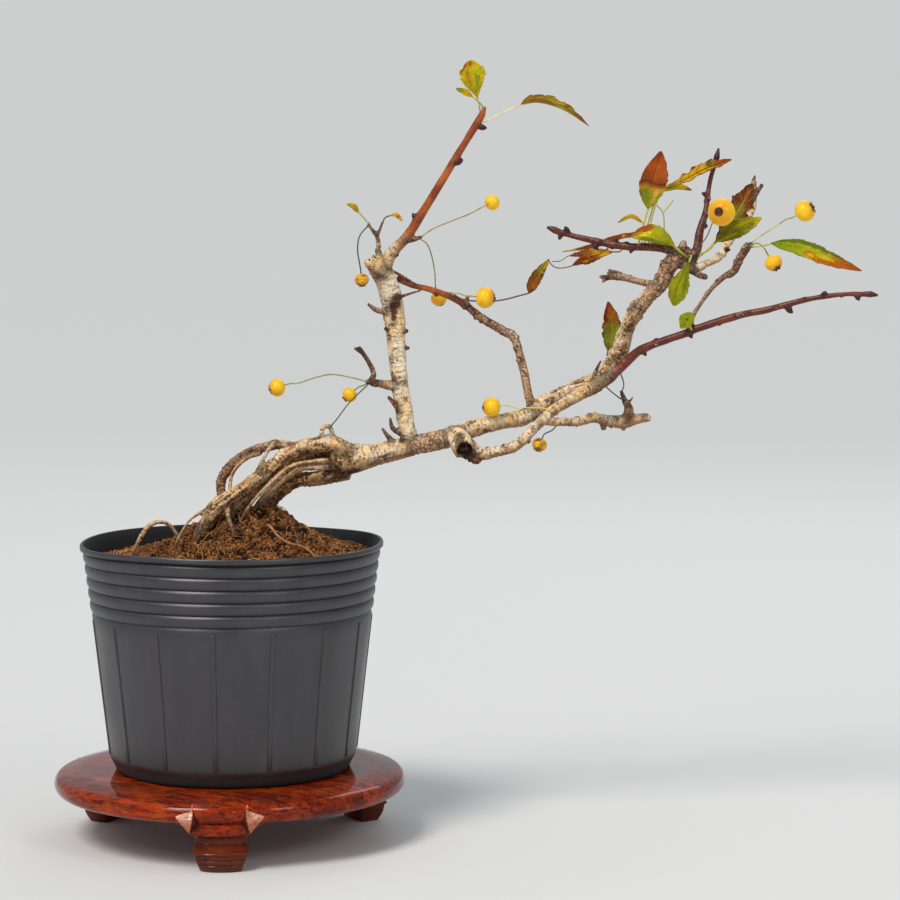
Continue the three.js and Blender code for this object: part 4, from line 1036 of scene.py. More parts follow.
# %% Routes
# One limb is (kind, [points]); a point is (x, y, z, radius), and y grows towards the back.
LIMBS = {
    "trunk": ("thick", [
        (50, 0, 188.5, 6.4), (54, 0, 189, 8.6), (61, 0, 189.5, 7.4), (70, -1, 191, 5.6),
        (90, -2, 196, 4.9), (111, -3, 201, 5), (121, -2, 205, 4.5), (135, 0, 208, 4), (145, 2, 210, 4.2),
        (156, 5, 217, 4.1), (170, 8, 223.4, 3.9), (184, 8, 229, 4.1), (189.5, 7, 235, 5.2),
        (193, 5, 243, 4.5), (195, 3, 250, 4), (198, 1, 258, 3.8), (203, -1, 266, 3.8), (208, -2, 272, 4),
        (213, -2, 277, 4), (216, -1, 284, 4.2), (221, 0, 289, 4.6), (226, 0, 291, 3.4)]),
    "upper_root": ("root", [
        (56, -1, 192, 6.5), (50, -2, 196.5, 4.9), (42, -3, 196.5, 4), (33, -5, 194.5, 3.8),
        (27, -6.5, 191.5, 3.7), (22, -8, 187.5, 3.6), (16, -10, 182.5, 3.5), (8, -13, 176.5, 3.5),
        (1, -16, 172, 3.7), (-6, -17, 167, 4.1), (-10, -18, 161, 4.1), (-14, -19, 154, 3.3),
        (-19, -22, 145, 1.9), (-24, -25, 134, 1.2)]),
    "lower_root": ("root", [
        (57, 0, 184.5, 5.6), (50, 1, 181.5, 4.7), (41, 3, 179.3, 3.8), (32, 5, 178, 3.7),
        (26, 7, 174.6, 3.9), (20.5, 8, 169.5, 3.9), (16.6, 8, 163, 3.8), (13, 8, 154, 3.1),
        (10, 9, 140, 2)]),
    "back_root": ("root", [
        (53, 3, 190, 3.4), (44, 7, 187.5, 2.5), (36, 10, 186, 2.5), (29, 11, 183, 2.5),
        (23, 11, 178, 2.6), (17, 10, 171, 2.5), (13, 8, 162, 2.2), (11, 6, 152, 1.8)]),
    "bundle_root": ("root", [
        (50, -1, 193, 2.8), (41, 3, 190.6, 2), (33, 4, 189, 2), (26, 3, 184.6, 2), (19.5, 0, 179, 2),
        (12, -4, 173, 2), (7, -5, 165.6, 1.8), (5, -5, 155, 1.3)]),
    "under_root": ("root", [
        (24, -6, 187.4, 3), (17, -7, 179.6, 2.3), (10, -9, 173.4, 2.2), (4, -11, 168, 2.1),
        (0, -12, 161, 1.8), (-1, -12, 152, 1.2)]),
    "crossing_root": ("rootlet", [
        (22, -1, 197, 1.6), (19, -7, 194.5, 1.1), (16.5, -10, 190, 1.1), (14, -10, 184, 1.5)]),
    "loop_root": ("root", [
        (30, -4, 195.6, 2.8), (24, 0, 196.4, 2.5), (15, 4, 194.4, 2.4), (8, 7, 192, 2.3),
        (2.2, 9, 188, 2.4), (-2.6, 11, 183, 2.6), (-5.6, 11, 178, 2.6), (-5.6, 10, 172, 2.5),
        (-4, 8, 166, 2.4), (-2, 7, 157, 2.1), (-1, 6, 146, 1.5)]),
    "loop_inner_root": ("rootlet", [
        (14.5, 3, 192, 1.4), (8, 5, 189.4, 1), (2.6, 6, 185, 1), (-0.6, 7, 179.5, 1),
        (-1, 5, 172.6, 1.2), (-0.5, 3, 165, 1.4)]),
    "front_thin_root": ("rootlet", [
        (54, -4, 189, 2), (40, -8, 188.6, 1.1), (31, -10, 187, 1), (25.5, -11, 183.4, 1),
        (17, -13, 175.4, 1), (12, -14, 170, 1), (7, -15, 163, 1.1), (3, -16, 154, 0.9)]),
    "middle_root": ("rootlet", [
        (55, -3, 186, 2.2), (43, -6, 185.6, 1.5), (35, -7, 185, 1.4), (28.5, -6, 181, 1.4),
        (21, -5, 174.6, 1.4), (14, -5, 168, 1.4), (8, -5, 160, 1.3), (3, -6, 150, 0.9)]),
    "inner_root": ("rootlet", [
        (52, 1, 189, 1.8), (44, 3, 191, 1.2), (36, 3, 193, 1.2), (30, -1, 194, 1.4)]),
    "short_root": ("rootlet", [
        (0, -16, 171, 1.9), (-0.5, -19.5, 164, 1.3), (2.5, -24, 156, 1), (6, -28, 146, 0.8)]),
    "left_thin_root": ("rootlet", [
        (-8, -18, 167, 1.4), (-13, -18, 165, 1), (-19, -20, 161, 0.8), (-23, -24, 155, 0.8),
        (-27, -27, 147, 0.7)]),
    "arched_root": ("rootlet", [
        (-17, -21, 150, 1.6), (-22, -18, 149, 1.1), (-26, -17, 154, 1), (-30, -18, 159, 1.1),
        (-35, -19, 160, 1.2), (-40, -20, 157, 1.2), (-45, -20, 149, 1.2), (-49, -20, 141, 1)]),
    "surface_root": ("rootlet", [
        (14, 4, 155, 1.3), (17, -10, 157, 1), (20, -20, 158, 0.9), (26, -29, 153, 0.8),
        (31, -32, 150.8, 0.8), (36, -34, 150, 0.8), (42, -39, 146.8, 0.7), (48, -43, 139, 0.7)]),
    "knee_loop": ("nub", [
        (47, -2, 197, 1.7), (45, -4, 203, 1.2), (46.4, -4, 205.6, 1.1), (49, -3, 205.6, 1.1),
        (50, -2, 203, 1.2), (50.4, -1, 197, 1.7)]),
    "upright": ("thick", [
        (89, -1, 196, 4.7), (87, 0, 206, 4.4), (84, 2, 224, 4.2), (82, 5, 243, 4.5), (81, 7, 258, 5.3),
        (79, 8, 271, 5.6), (75, 7, 281, 5.5), (70, 5, 288.5, 5)]),
    "apex_shoot": ("shoot", [
        (75, 6, 280, 3.8), (79, 5, 290, 3.1), (87, 2, 299, 2.5), (95, -2, 311, 2.3), (100, -4, 319, 2.1),
        (109, -8, 334, 1.9), (121, -12, 353.5, 1.9), (124, -12.5, 358.5, 1.8), (125.5, -13, 362.4, 0.8)]),
    "apex_spur": ("nub", [(86, 2.5, 297.5, 1.9), (91, 1, 298, 1.4), (94.5, 0.5, 299, 0.9)]),
    "top_twig": ("spur", [(73, 6, 284, 2.4), (73, 5, 292, 1.5), (73, 5, 297, 1.2), (72, 5, 301, 1.2)]),
    "top_twig_left": ("nub", [(72, 5, 300, 1.2), (69, 4, 304, 0.9), (68, 4, 306, 0.8)]),
    "top_twig_right": ("nub", [(72.5, 5, 300, 1), (74, 5, 303, 0.8), (75, 4, 306, 0.7)]),
    "middle_branch": ("branch", [
        (150, 3, 213, 3.2), (148, 6, 219, 2.3), (147, 8, 224, 2.2), (144, 11, 237, 2.2),
        (140, 13, 249, 2.3), (135, 14, 252, 2.3), (125, 14, 258, 2.2), (113, 13, 267, 1.8),
        (98, 12, 273, 1.6), (89, 12, 275, 1.4), (79, 13, 279, 1)]),
    "middle_branch_fork": ("nub", [(92, 12, 274.5, 1.1), (85, 13, 279, 0.9), (80, 14, 282, 0.7)]),
    "middle_spur_high": ("nub", [(113, 13, 267, 1.5), (109, 12, 270.5, 1.3)]),
    "middle_spur_low": ("nub", [(116, 13, 265, 1.4), (117.5, 12, 269.5, 1)]),
    "left_twig": ("spur", [
        (84, 2, 226, 2.8), (79, 0, 226, 2.6), (74, -3, 227, 2.1), (70, -6, 228, 1.9), (71, -8, 232, 1.4),
        (68, -11, 239, 1.2), (64, -14, 245, 1.3)]),
    "left_twig_fork": ("nub", [(65.5, -13, 243, 1.4), (62, -14.5, 245, 0.9)]),
    "left_twig_spur": ("nub", [(71, -5.5, 228, 1.7), (67.5, -7, 228, 1.3)]),
    "cut_stub": ("thick", [
        (108.5, -2, 202.8, 4.1), (111.5, -6, 201.2, 5), (113.8, -10, 198.4, 5.8),
        (115.6, -14.5, 195.2, 5.4)]),
    "cut_stub_side": ("nub", [(117, -10, 194, 3.8), (122, -13, 189.8, 2.6)]),
    "front_branch": ("branch", [
        (116, -7, 198, 3.8), (123, -11, 193, 3), (131, -14, 194, 2.7), (138, -16, 196, 2.7),
        (144, -17, 200, 2.7), (148, -17, 204, 2.5), (153, -15, 209, 2.5), (159, -11, 214, 2.8),
        (166, -7, 218, 3), (173, -3, 222, 3.4), (180, -1, 225, 3.5), (187, 0, 229.5, 3)]),
    "long_shoot": ("shoot", [
        (180, -1, 225, 3.2), (187, 0, 229.5, 3), (194, -2, 236, 2.5), (200, -5, 242, 2.3),
        (207, -8, 246, 2.1), (222, -12, 251.5, 2), (231, -14, 255.2, 2), (250, -19, 261.4, 1.9),
        (263, -22, 264.2, 1.7), (281, -26, 269.2, 1.4), (300, -29, 272, 1.2), (308, -30, 272, 1.3),
        (311.5, -30.5, 272, 1.7), (315, -31, 271.5, 0.7)]),
    "shoot_spur": ("spur", [
        (226, -13, 253.5, 1.8), (227, -14, 260, 1.3), (231, -15, 267, 1.1), (236, -16, 274, 1.2),
        (242, -17, 280, 1.5), (247, -18, 283, 2), (249, -19, 288, 2), (253, -20, 295, 2.2)]),
    "dead_branch": ("spur", [
        (150, 3, 211, 3), (156, 6, 208, 2.5), (163, 8, 207, 2.2), (173, 11, 207, 2.3),
        (180, 13, 208.6, 2.6), (188, 14, 207.3, 2.9), (195, 15, 206.6, 3.8), (202, 16, 207.8, 2.8),
        (209, 17, 208, 1.7)]),
    "dead_spur": ("spur", [
        (197, 15, 208, 3), (198, 15, 213, 2.4), (195.5, 14, 218, 1.4), (194, 13, 222, 0.9)]),
    "dead_spur_prong": ("nub", [(197, 14.5, 215, 1), (200, 14, 219, 0.5)]),
    "dead_stub": ("nub", [(184.5, 14, 207, 1.6), (185.5, 13, 202.5, 1.3)]),
    "stub_twig": ("spur", [
        (211, -2, 275, 2.4), (207, 0, 276, 1.9), (202, 4, 277, 1.8), (195, 7, 278.9, 1.9),
        (190, 9, 280, 2.6), (187, 10, 280.4, 2.8)]),
    "stub_twig_prong": ("nub", [(187.5, 10, 280, 1.3), (183, 10, 279, 0.8)]),
    "stub_twig_prong_low": ("nub", [(187.5, 10, 279, 1.2), (184.3, 10, 276.6, 0.8)]),
    "back_twig": ("shoot", [
        (224, 1, 288, 3.2), (216, 3, 293, 2.6), (207, 6, 294, 2.1), (198, 9, 294, 2),
        (189, 11, 295, 1.9), (180, 13, 297, 1.8), (171, 15, 299, 1.6), (164, 17, 301, 1.5),
        (160.5, 18, 302.3, 1.9), (157, 18, 303.5, 0.8)]),
    "up_twig": ("shoot", [
        (227, 0, 287, 3), (230, 1.5, 292, 2.3), (232, 4, 302, 2.1), (235, 7, 312, 1.5),
        (236.5, 10, 322, 1.3), (238, 12, 329, 1.2), (240, 13, 335, 1.2), (240.8, 13, 338.4, 1.7),
        (241.6, 13, 342.6, 0.6)]),
    "cream_twig": ("shoot", [
        (222, 0, 287, 3.2), (228, -2, 283, 2.4), (235, 2, 286, 1.9), (242, 7, 289, 1.8),
        (246, 11, 295, 1.8), (254, 14, 305, 1.8), (259, 17, 312, 1.6), (260, 18, 320, 1.4),
        (259.6, 18, 325.4, 1.5), (260.3, 18, 329.2, 0.6)]),
    "cream_twig_prong": ("nub", [(259.8, 17.5, 318, 1.3), (262, 17.5, 321.5, 1), (264, 17, 325, 1.1)]),
    "cluster_stub": ("nub", [(225, -1, 286, 2.2), (230, -5, 281, 1.8), (234, -8, 279.5, 1.5)]),
    "cluster_knob": ("spur", [(221, 0, 290, 3.4), (223, -0.5, 293.6, 2.5), (223.6, -0.5, 296.6, 1.7)]),
    "trunk_nub": ("nub", [(201.1, 0, 263.9, 3), (198.3, -1, 266.7, 1.9)]),
    "cluster_bud": ("nub", [(219, 1, 292, 1.6), (217.5, 0.5, 297, 0.9)]),
    "thorn": ("nub", [(180, 4, 227, 1.8), (180.5, 1, 232, 1.2), (183, -1, 238, 0.6)]),
    "upright_stub": ("nub", [(78, 6, 262, 2), (72, 3, 263, 1.4), (68, 1, 266, 0.8)]),
    "upright_nub_right": ("nub", [(83, 6, 252, 1.5), (88, 6, 252.5, 1)]),
    "upright_nub_lower": ("nub", [(83, 5, 244, 1.5), (88, 6, 244, 1)]),
    "upright_nub_left": ("nub", [(80, 6, 253, 1.4), (76, 6, 253.5, 0.8)]),
    "scar_spur": ("spur", [(80, 5, 264, 2.8), (83, 1, 270, 1.8)]),
    "scar_twig": ("nub", [(82, 1, 269, 1.2), (87, 3, 270.5, 0.8), (94, 8, 272.5, 0.6)]),
    "low_spurs": ("nub", [(85, 0, 211, 1.9), (81, -3, 217, 1.4), (78, -5, 220.5, 0.8)]),
    "low_spur_middle": ("nub", [(84, 0, 202, 1.7), (80, -3, 205, 1.3), (79, -5, 210, 0.7)]),
    "low_spur_lower": ("nub", [(80, -2, 198, 1.8), (77, -5, 202, 1.1), (75, -6, 205, 0.7)]),
    "forked_stalk": ("thread", [
        (214, 4, 293, 0.7), (214, 1.5, 301, 0.5), (213.2, -0.5, 311, 0.5), (209.4, -1, 315.3, 0.6)]),
    "forked_stalk_arm": ("thread", [(213.2, -0.4, 310.6, 0.5), (216, 0, 314, 0.5), (218.4, 0, 317.2, 0.5)]),
    "hanging_stalk": ("thread", [
        (69, -6.5, 227.5, 0.6), (59, -12, 218, 0.5), (53, -9, 210, 0.5), (49.4, -3.2, 205.6, 0.6)]),
    "old_stalk": ("thread", [(194, 13, 221, 0.6), (195, 8, 226, 0.5), (192.5, 5, 233, 0.6)]),
    "old_stalk_low": ("thread", [(194, 13.5, 218, 0.6), (190, 12, 221, 0.5), (184, 9, 226.5, 0.6)]),
}

# %% Winter buds
# (x, y, z) on the twig's axis, the way the bud leans in x and z, and its size against a small one.
BUDS = [
    (208, -8, 246, 0.6, 1, 1.2), (203, -6.5, 243.5, 0.8, -1, 1), (225, -12.5, 252.6, 0.8, -1, 1),
    (240, -16.5, 258, 0.7, 1, 1), (271, -24, 266.6, 0.9, -1, 1.5), (288, -27.5, 270.4, 0.8, 1, 1.1),
    (304, -29.7, 272, 0.8, -1, 1.1), (109.6, -8.5, 334.5, 0.9, 0.4, 1.6),
    (121.5, -12, 353, 1, -0.2, 1.4), (92, -0.5, 307, -0.5, 1, 1.2), (80, 5, 291, 1, -0.4, 1),
    (168, 16, 300, -0.6, 1, 1.3), (164, 17, 301, -0.3, -1, 1.1), (199, 8, 294, -0.4, -1, 1),
    (236.5, 9.5, 319, -1, 0.5, 1.1), (233, 6, 303, 1, 0.6, 1), (238.5, 12.5, 333, -1, 0.7, 1),
    (244, 9, 292, 1, 0.2, 1), (256, 15, 309, -1, 0.6, 1), (101, 12, 272, 0.3, -1, 0.9),
    (122, 14, 260.5, -0.5, -1, 0.9), (180.5, 13, 296.6, 0.1, -1, 1.4), (190.5, 10.6, 295, 0.2, 1, 1.1),
    (227.5, -2, 288, 0.6, 0.5, 1),
]
BUD_SHAPE = [(0.8, 0.8), (1.5, 1.1), (2.2, 1.15), (3.0, 0.85), (3.8, 0.35)]


def bud_route(x, y, z, lean_x, lean_z, size):
    """A pointed bud as a short strand: thick in the middle and sharp at its end."""
    point = Vector((lean_x, -0.25, lean_z)).normalized()
    route = []
    for distance, radius in BUD_SHAPE:
        at = Vector((x, y, z)) + point * distance * size
        route.append((*at, radius * size))
    return route


# %% Strands for every limb
SPACING = 1.0
CUT_ENDS = (
    "cut_stub", "upright", "dead_branch", "dead_stub", "stub_twig", "cream_twig_prong", "upright_nub_right",
)
# Each row gives a value at shares of a limb's length, for a kind of limb or for one limb by name: two numbers
# are the values at its foot and its tip, and a list has (share, value) pairs.
# AGE is 1 for pale cracked wood and 0 for this year's red shoot.
AGE = {
    "thick": (1, 1), "branch": (1, 0.85), "root": (1, 0.95), "rootlet": (0.8, 0.6), "shoot": (0.1, 0),
    "spur": (0.6, 0.45), "nub": (0.5, 0.35), "thread": (0.15, 0.15),
    "long_shoot": [(0, 0.6), (0.05, 0.42), (0.1, 0.28), (0.2, 0.12), (0.5, 0.05), (1, 0.02)],
    "middle_branch": [(0, 0.5), (0.5, 0.6), (0.64, 0.1), (1, 0.05)],
    "apex_shoot": [(0, 0.9), (0.14, 0.6), (0.3, 0.1), (1, 0.05)],
    "cream_twig": [(0, 0.9), (0.8, 0.8), (1, 0.3)], "left_twig": [(0, 0.9), (0.3, 0.5), (1, 0.3)],
    "dead_branch": (0.8, 0.7), "shoot_spur": (0.45, 0.3), "cut_stub_side": (1, 1), "knee_loop": (0.9, 0.9),
    "cluster_knob": (0.9, 0.8), "dead_spur": (0.6, 0.35), "trunk_nub": (1, 0.9),
    "back_twig": [(0, 0.5), (0.3, 0.1), (1, 0.05)], "up_twig": [(0, 0.4), (0.3, 0.1), (1, 0.05)],
    "scar_spur": (0.8, 0.5), "surface_root": (0.5, 0.35),
}
# DARK is how purple-brown and net-cracked the bark is.
DARK = {
    "root": (0.05, 0.3), "rootlet": (0.1, 0.4), "surface_root": (0, 0),
    "trunk": [(0, 0), (0.14, 0), (0.18, 0.5), (0.2, 0.62), (0.26, 0.64), (0.3, 0.2), (0.36, 0),
              (0.5, 0.15), (0.62, 0.2), (0.85, 0.35), (0.89, 0.6), (1, 0.8)],
    "upright": [(0, 0.25), (0.1, 0.1), (0.2, 0), (0.8, 0), (0.9, 0.15), (1, 0.1)],
    "loop_root": [(0, 0.4), (0.3, 0.72), (1, 0.72)], "back_twig": (0.7, 0.55), "up_twig": (0.7, 0.5),
    "scar_spur": (1, 1), "scar_twig": (1, 0.7), "upright_nub_right": (0.9, 1),
    "upright_nub_lower": (0.9, 1), "upright_nub_left": (0.9, 1), "low_spurs": (0.7, 1),
    "low_spur_middle": (0.7, 1), "low_spur_lower": (0.7, 1), "cluster_stub": (0.8, 0.8),
    "cluster_knob": (0.6, 0.7), "cluster_bud": (0.8, 1), "cut_stub_side": (1, 1), "thorn": (0.5, 0.8),
    "knee_loop": (0.2, 0.2),
    "middle_branch": [(0, 0.5), (0.38, 0.55), (0.6, 0.8), (0.66, 0.1), (0.85, 0.2), (0.92, 0.7), (1, 0.8)],
    "top_twig": [(0, 0), (0.4, 0.1), (0.6, 0.6), (1, 0.7)], "top_twig_left": (0.7, 0.8),
    "top_twig_right": (0.7, 0.8), "stub_twig": [(0, 0.3), (0.6, 0.4), (1, 0.9)], "dead_branch": (0.15, 0.4),
    "dead_spur": (0.5, 0.7), "shoot_spur": [(0, 0.2), (0.5, 0.45), (1, 0.7)],
    "left_twig": [(0, 0.2), (0.4, 0.6), (1, 0.6)], "left_twig_fork": (0.6, 0.6),
    "upright_stub": [(0, 0.1), (0.6, 0.2), (1, 0.9)],
    "long_shoot": [(0, 0.1), (0.12, 0.45), (0.5, 0.4), (1, 0.4)], "apex_spur": (0.5, 0.9),
    "branch": (0.15, 0.25), "spur": (0.35, 0.55),
    "cream_twig": [(0, 0.4), (0.3, 0.1), (0.8, 0.1), (1, 0.9)], "cream_twig_prong": (0.3, 0.9),
}
# FLUTED is how strongly strands and grooves run down the limb; where they don't, dashes run round it.
FLUTED = {
    "root": [(0, 0.7), (0.3, 1), (1, 1)], "rootlet": (1, 1), "branch": (0.5, 0.4),
    "trunk": [(0, 0.9), (0.1, 0.4), (0.2, 0.1), (0.45, 0.3), (0.6, 0.7), (1, 0.7)], "spur": (0.4, 0.4),
}
# EMBER is how much of a young shoot's brown is orange.
EMBER = {
    "middle_branch": [(0, 0), (0.6, 0.3), (0.66, 1), (0.9, 0.9), (1, 0.2)],
    "apex_shoot": [(0, 0.4), (0.3, 0.8), (1, 1)], "surface_root": (1, 1),
}


def rounded_ends(name, route):
    """The route, drawn to a soft point at its far end unless the limb was cut there."""
    if name in CUT_ENDS:
        return route
    last, before = route[-1], route[-2]
    ahead = (last[:3] - before[:3]) / max(1e-6, np.linalg.norm(last[:3] - before[:3]))
    taper = ((0.3, 0.85), (0.55, 0.45))
    return route + [np.append(last[:3] + ahead * last[3] * out, last[3] * thin) for out, thin in taper]


def along_limb(table, name, kind, share):
    """A limb's value at a share of its length, from its own row or its kind's."""
    row = table.get(name, table.get(kind, (0, 0)))
    return np.interp(share, *zip(*row)) if isinstance(row, list) else np.interp(share, (0, 1), row)


# Where a limb is knobbly with old leaf scars: from one share of its length to another, and how many knobs.
KNOBBLY = {
    "middle_branch": (0.2, 0.64, 30), "front_branch": (0.05, 0.75, 26), "trunk": (0.6, 1, 44),
    "shoot_spur": (0.4, 1, 16), "long_shoot": (0.04, 0.9, 14), "up_twig": (0, 0.6, 8),
    "back_twig": (0, 0.6, 8), "dead_branch": (0.1, 1, 24), "left_twig": (0.1, 1, 10),
    "cream_twig": (0, 1, 8), "stub_twig": (0.4, 1, 6),
}
# The share of a limb's length from which its tip is a dark winter bud.
TIP_BUD = {"long_shoot": 0.965, "up_twig": 0.84, "back_twig": 0.92, "scar_twig": 0.85, "left_twig": 0.96}
scars = random.Random(17)


def knobs_on(name, route):
    """Short blunt lumps that stick out of a limb at random."""
    low, high, count = KNOBBLY.get(name, (0, 0, 0))
    lumps = []
    for _ in range(count):
        x, y, z, radius = route[int(scars.uniform(low, high) * (len(route) - 1))]
        out = Vector((scars.uniform(-1, 1), scars.uniform(-1, 0.4), scars.uniform(-1, 1))).normalized()
        size = scars.uniform(0.8, 1.5)
        lumps.append([(*(Vector((x, y, z)) + out * radius * reach), size) for reach in (0.7, 1.25)])
    return lumps


def heading(route, i):
    """The way a limb runs at one of its samples."""
    step = route[min(i + 1, len(route) - 1)][:3] - route[max(i - 1, 0)][:3]
    return step / max(1e-6, np.linalg.norm(step))


# A sample's columns: where it is (3), radius, distance along the limb, 1 on a bud, age, dark, ember, the
# limb's number, its heading there (3), fluted.
strands, samples = [], []
for limb, (name, (kind, points)) in enumerate(LIMBS.items()):
    route = rounded_ends(name, smooth_route(points, SPACING))
    if kind != "thread":
        knobs = knobs_on(name, route)
        strands += [route, *knobs]
        samples += [(*spot(*end[:3]), end[3] * MM, 0, 0, 0.75, 0.75, 0, limb, 0, 0, 0, 0) for _, end in knobs]
    for i, point in enumerate(route):
        looks = [along_limb(table, name, kind, i / (len(route) - 1)) for table in (AGE, DARK, EMBER)]
        fluted = along_limb(FLUTED, name, kind, i / (len(route) - 1))
        tip = float(i / (len(route) - 1) > TIP_BUD.get(name, 1))
        place_on_limb = (*spot(*point[:3]), point[3] * MM, i * SPACING, tip)
        samples.append((*place_on_limb, *looks, limb, *heading(route, i), fluted))
for bud in BUDS:
    route = bud_route(*bud)
    strands.append(route)
    samples += [(*spot(*point[:3]), point[3] * MM, 0, 1, 0, 0, 0, -1, 0, 0, 0, 0) for point in route[1:]]
samples = np.array(samples, float)
print("strands:", len(strands), "samples:", len(samples))

# %% One skin
STRAND_SIDES = 12
VOXEL = 0.56
WOOD_SHARE = 0.66
THREAD_SIDES = 8
THREAD_SHARE = 0.62

wood = tube("bonsai_wood", strands, STRAND_SIDES)
apply_modifier(wood, "REMESH", mode="VOXEL", voxel_size=VOXEL * MM)
apply_modifier(wood, "SMOOTH", factor=0.5, iterations=3)
print("wood after the remesh:", triangles(wood), "triangles")

# %% What every point belongs to
CHUNK = 4000
# crevice: 1 against another limb, 0 beyond CREVICE_REACH millimetres; the bark paints shade by it.
CREVICE_REACH = 2.0
skin = points_of(wood)
owner = np.empty(len(skin), int)
crevice = np.empty(len(skin))
for start in range(0, len(skin), CHUNK):
    part = slice(start, start + CHUNK)
    away = np.linalg.norm(skin[part, None, :] - samples[None, :, :3], axis=2) - samples[None, :, 3]
    nearest = np.abs(away).argmin(axis=1)
    owner[part] = nearest
    others = samples[None, :, 9] != samples[nearest, 9][:, None]
    gap = np.where(others & (samples[None, :, 5] == 0), np.abs(away), 1).min(axis=1) / MM
    crevice[part] = np.clip(1 - gap / CREVICE_REACH, 0, 1)
along, bud_mask, age, dark, ember = (samples[owner, column] for column in range(4, 9))
girth = samples[owner, 3] / MM
offset = (skin - samples[owner, :3]) / MM
run = (offset * samples[owner, 10:13]).sum(axis=1)
along = along + run
across = offset - run[:, None] * samples[owner, 10:13]


def softened(values, rounds):
    """Each point's value averaged with its neighbours', several times over."""
    edges = np.empty(len(wood.data.edges) * 2, int)
    wood.data.edges.foreach_get("vertices", edges)
    ends = edges.reshape(-1, 2)
    links = np.bincount(edges, minlength=len(values)) + 1
    for _ in range(rounds):
        total = values.copy()
        np.add.at(total, ends[:, 0], values[ends[:, 1]])
        np.add.at(total, ends[:, 1], values[ends[:, 0]])
        values = total / links
    return values


age, dark, ember, fluted = (softened(values, 5) for values in (age, dark, ember, samples[owner, 13]))
bud_mask, crevice = softened(bud_mask, 1), softened(crevice, 2)
normals = vertex_normals(wood)
# under grows as a point faces down; the bark paints shade on undersides with it.
under = softened(np.clip(0.25 - normals[:, 2], 0, 1.1), 3)
print("oldest and youngest bark:", round(age.max(), 2), round(age.min(), 2))

# %% Hollows
# Where a limb was cut, the wood inside has rotted away: the share of its radius that is hollow, and how deep.
HOLLOW_ENDS = {
    "cut_stub": (0.8, 3.4), "upright": (0.6, 3.0), "stub_twig": (0.6, 1.6), "dead_branch": (0.5, 1.0),
}
# An old knot hole in the upright: its centre, how far it reaches and how deep it is.
KNOT_HOLE = ((80.6, 1.4, 262.5), 2.7, 1.8)


def hollow_end(name, share, depth):
    """For every point, how near the middle of a cut end it is, how torn its rim is, and the way in."""
    tip, before = (Vector(point[:3]) for point in LIMBS[name][1][:-3:-1])
    radius = LIMBS[name][1][-1][3]
    inward = np.array((before - tip).normalized())
    away = (skin - np.array(spot(*tip))) / MM
    run = away @ inward
    out = np.linalg.norm(away - run[:, None] * inward, axis=1)
    at_end = np.clip(1.4 - np.abs(run) / radius, 0, 1) * (out < 1.6 * radius)
    torn = [grade * noise.noise(Vector(point) * 0.75) if grade else 0.0 for grade, point in zip(at_end, away)]
    nearness = np.clip(1 - out / (radius * share), 0, 1) * (np.abs(run) < radius)
    return nearness, 0.6 * depth * np.array(torn), inward * depth


cut_mask = np.zeros(len(skin))
pushed = np.zeros_like(skin)
for name, (share, depth) in HOLLOW_ENDS.items():
    nearness, torn, push = hollow_end(name, share, depth)
    cut_mask = np.maximum(cut_mask, nearness)
    pushed += (np.clip(nearness * 2.2, 0, 1) + torn / depth)[:, None] * push
knot, reach, depth = KNOT_HOLE
from_knot = (skin - np.array(spot(*knot))) / MM
ragged = np.array([1.2 * noise.noise(Vector(point) * 0.6) for point in from_knot])
nearness = np.clip(1.3 - (np.linalg.norm(from_knot * (1.3, 1, 0.55), axis=1) + ragged) / reach, 0, 1)
pushed -= np.clip(nearness * 1.6, 0, 1)[:, None] * normals * depth
dark = np.maximum(dark, np.clip(nearness * 2, 0, 0.9))

# %% Relief of the bark
ASLANT = Vector((0.31, 0.57, 0.76))


def relief_of(point, round_limb, old, run, thick, flutes):
    """How far a point of the bark stands out, in millimetres: lumps, strands along a limb, rings round it."""
    at = Vector(point) / MM
    lump = noise.noise(at * 0.16) * 0.12 * thick
    wander = 2.2 * noise.noise(at * 0.22)
    ring = math.sin((run + wander) * 2.0) * noise.noise(at * 0.35 + Vector((9, 0, 0)))
    strand = noise.noise(Vector(round_limb) * 0.75 + ASLANT * run * 0.11)
    groove = max(0.0, 1 - abs(strand) / 0.09)
    flake = noise.turbulence(at * 0.8, 3, True) - 0.5
    strands_out = flutes * (0.6 * strand - 0.5 * groove)
    return lump + old * (0.45 * ring + strands_out + (0.2 + 0.6 * flutes) * flake) * min(1.0, thick / 2.4)


relief = np.array([relief_of(*facts) for facts in zip(skin, across, age, along, girth, fluted)])
relief *= 1 - np.clip(bud_mask + 2 * cut_mask, 0, 1)
set_points(wood, skin + normals * (relief * MM)[:, None] + pushed * MM)
dusty = np.array([soil_level(*((point - np.array(AXIS))[:2] / MM)) for point in skin])
height_over_soil = skin[:, 2] / MM - dusty
thread_routes = [
    smooth_route([(x, y, z, radius * THREAD_SHARE) for x, y, z, radius in points], 2)
    for kind, points in LIMBS.values() if kind == "thread"
]
threads = tube("dry_threads", thread_routes, THREAD_SIDES)
for name, values in (
    ("age", age), ("along", along), ("bud", bud_mask), ("cut", cut_mask), ("relief", relief),
    ("dark", dark), ("ember", ember), ("under", under), ("crevice", crevice),
    ("soil_gap", height_over_soil), ("across", across), ("fluted", fluted),
):
    paint_attribute(wood, name, values)
# The remesh makes more triangles than flat stretches of bark need.
apply_modifier(wood, "DECIMATE", ratio=WOOD_SHARE)
print("wood after thinning:", triangles(wood), "triangles")
thread_points = np.ones(len(threads.data.vertices))
paint_attribute(threads, "soil_gap", 99 * thread_points)
paint_attribute(threads, "thread", thread_points)
wood = join([wood, threads], "bonsai_wood")
only(wood)
bpy.ops.object.shade_smooth()
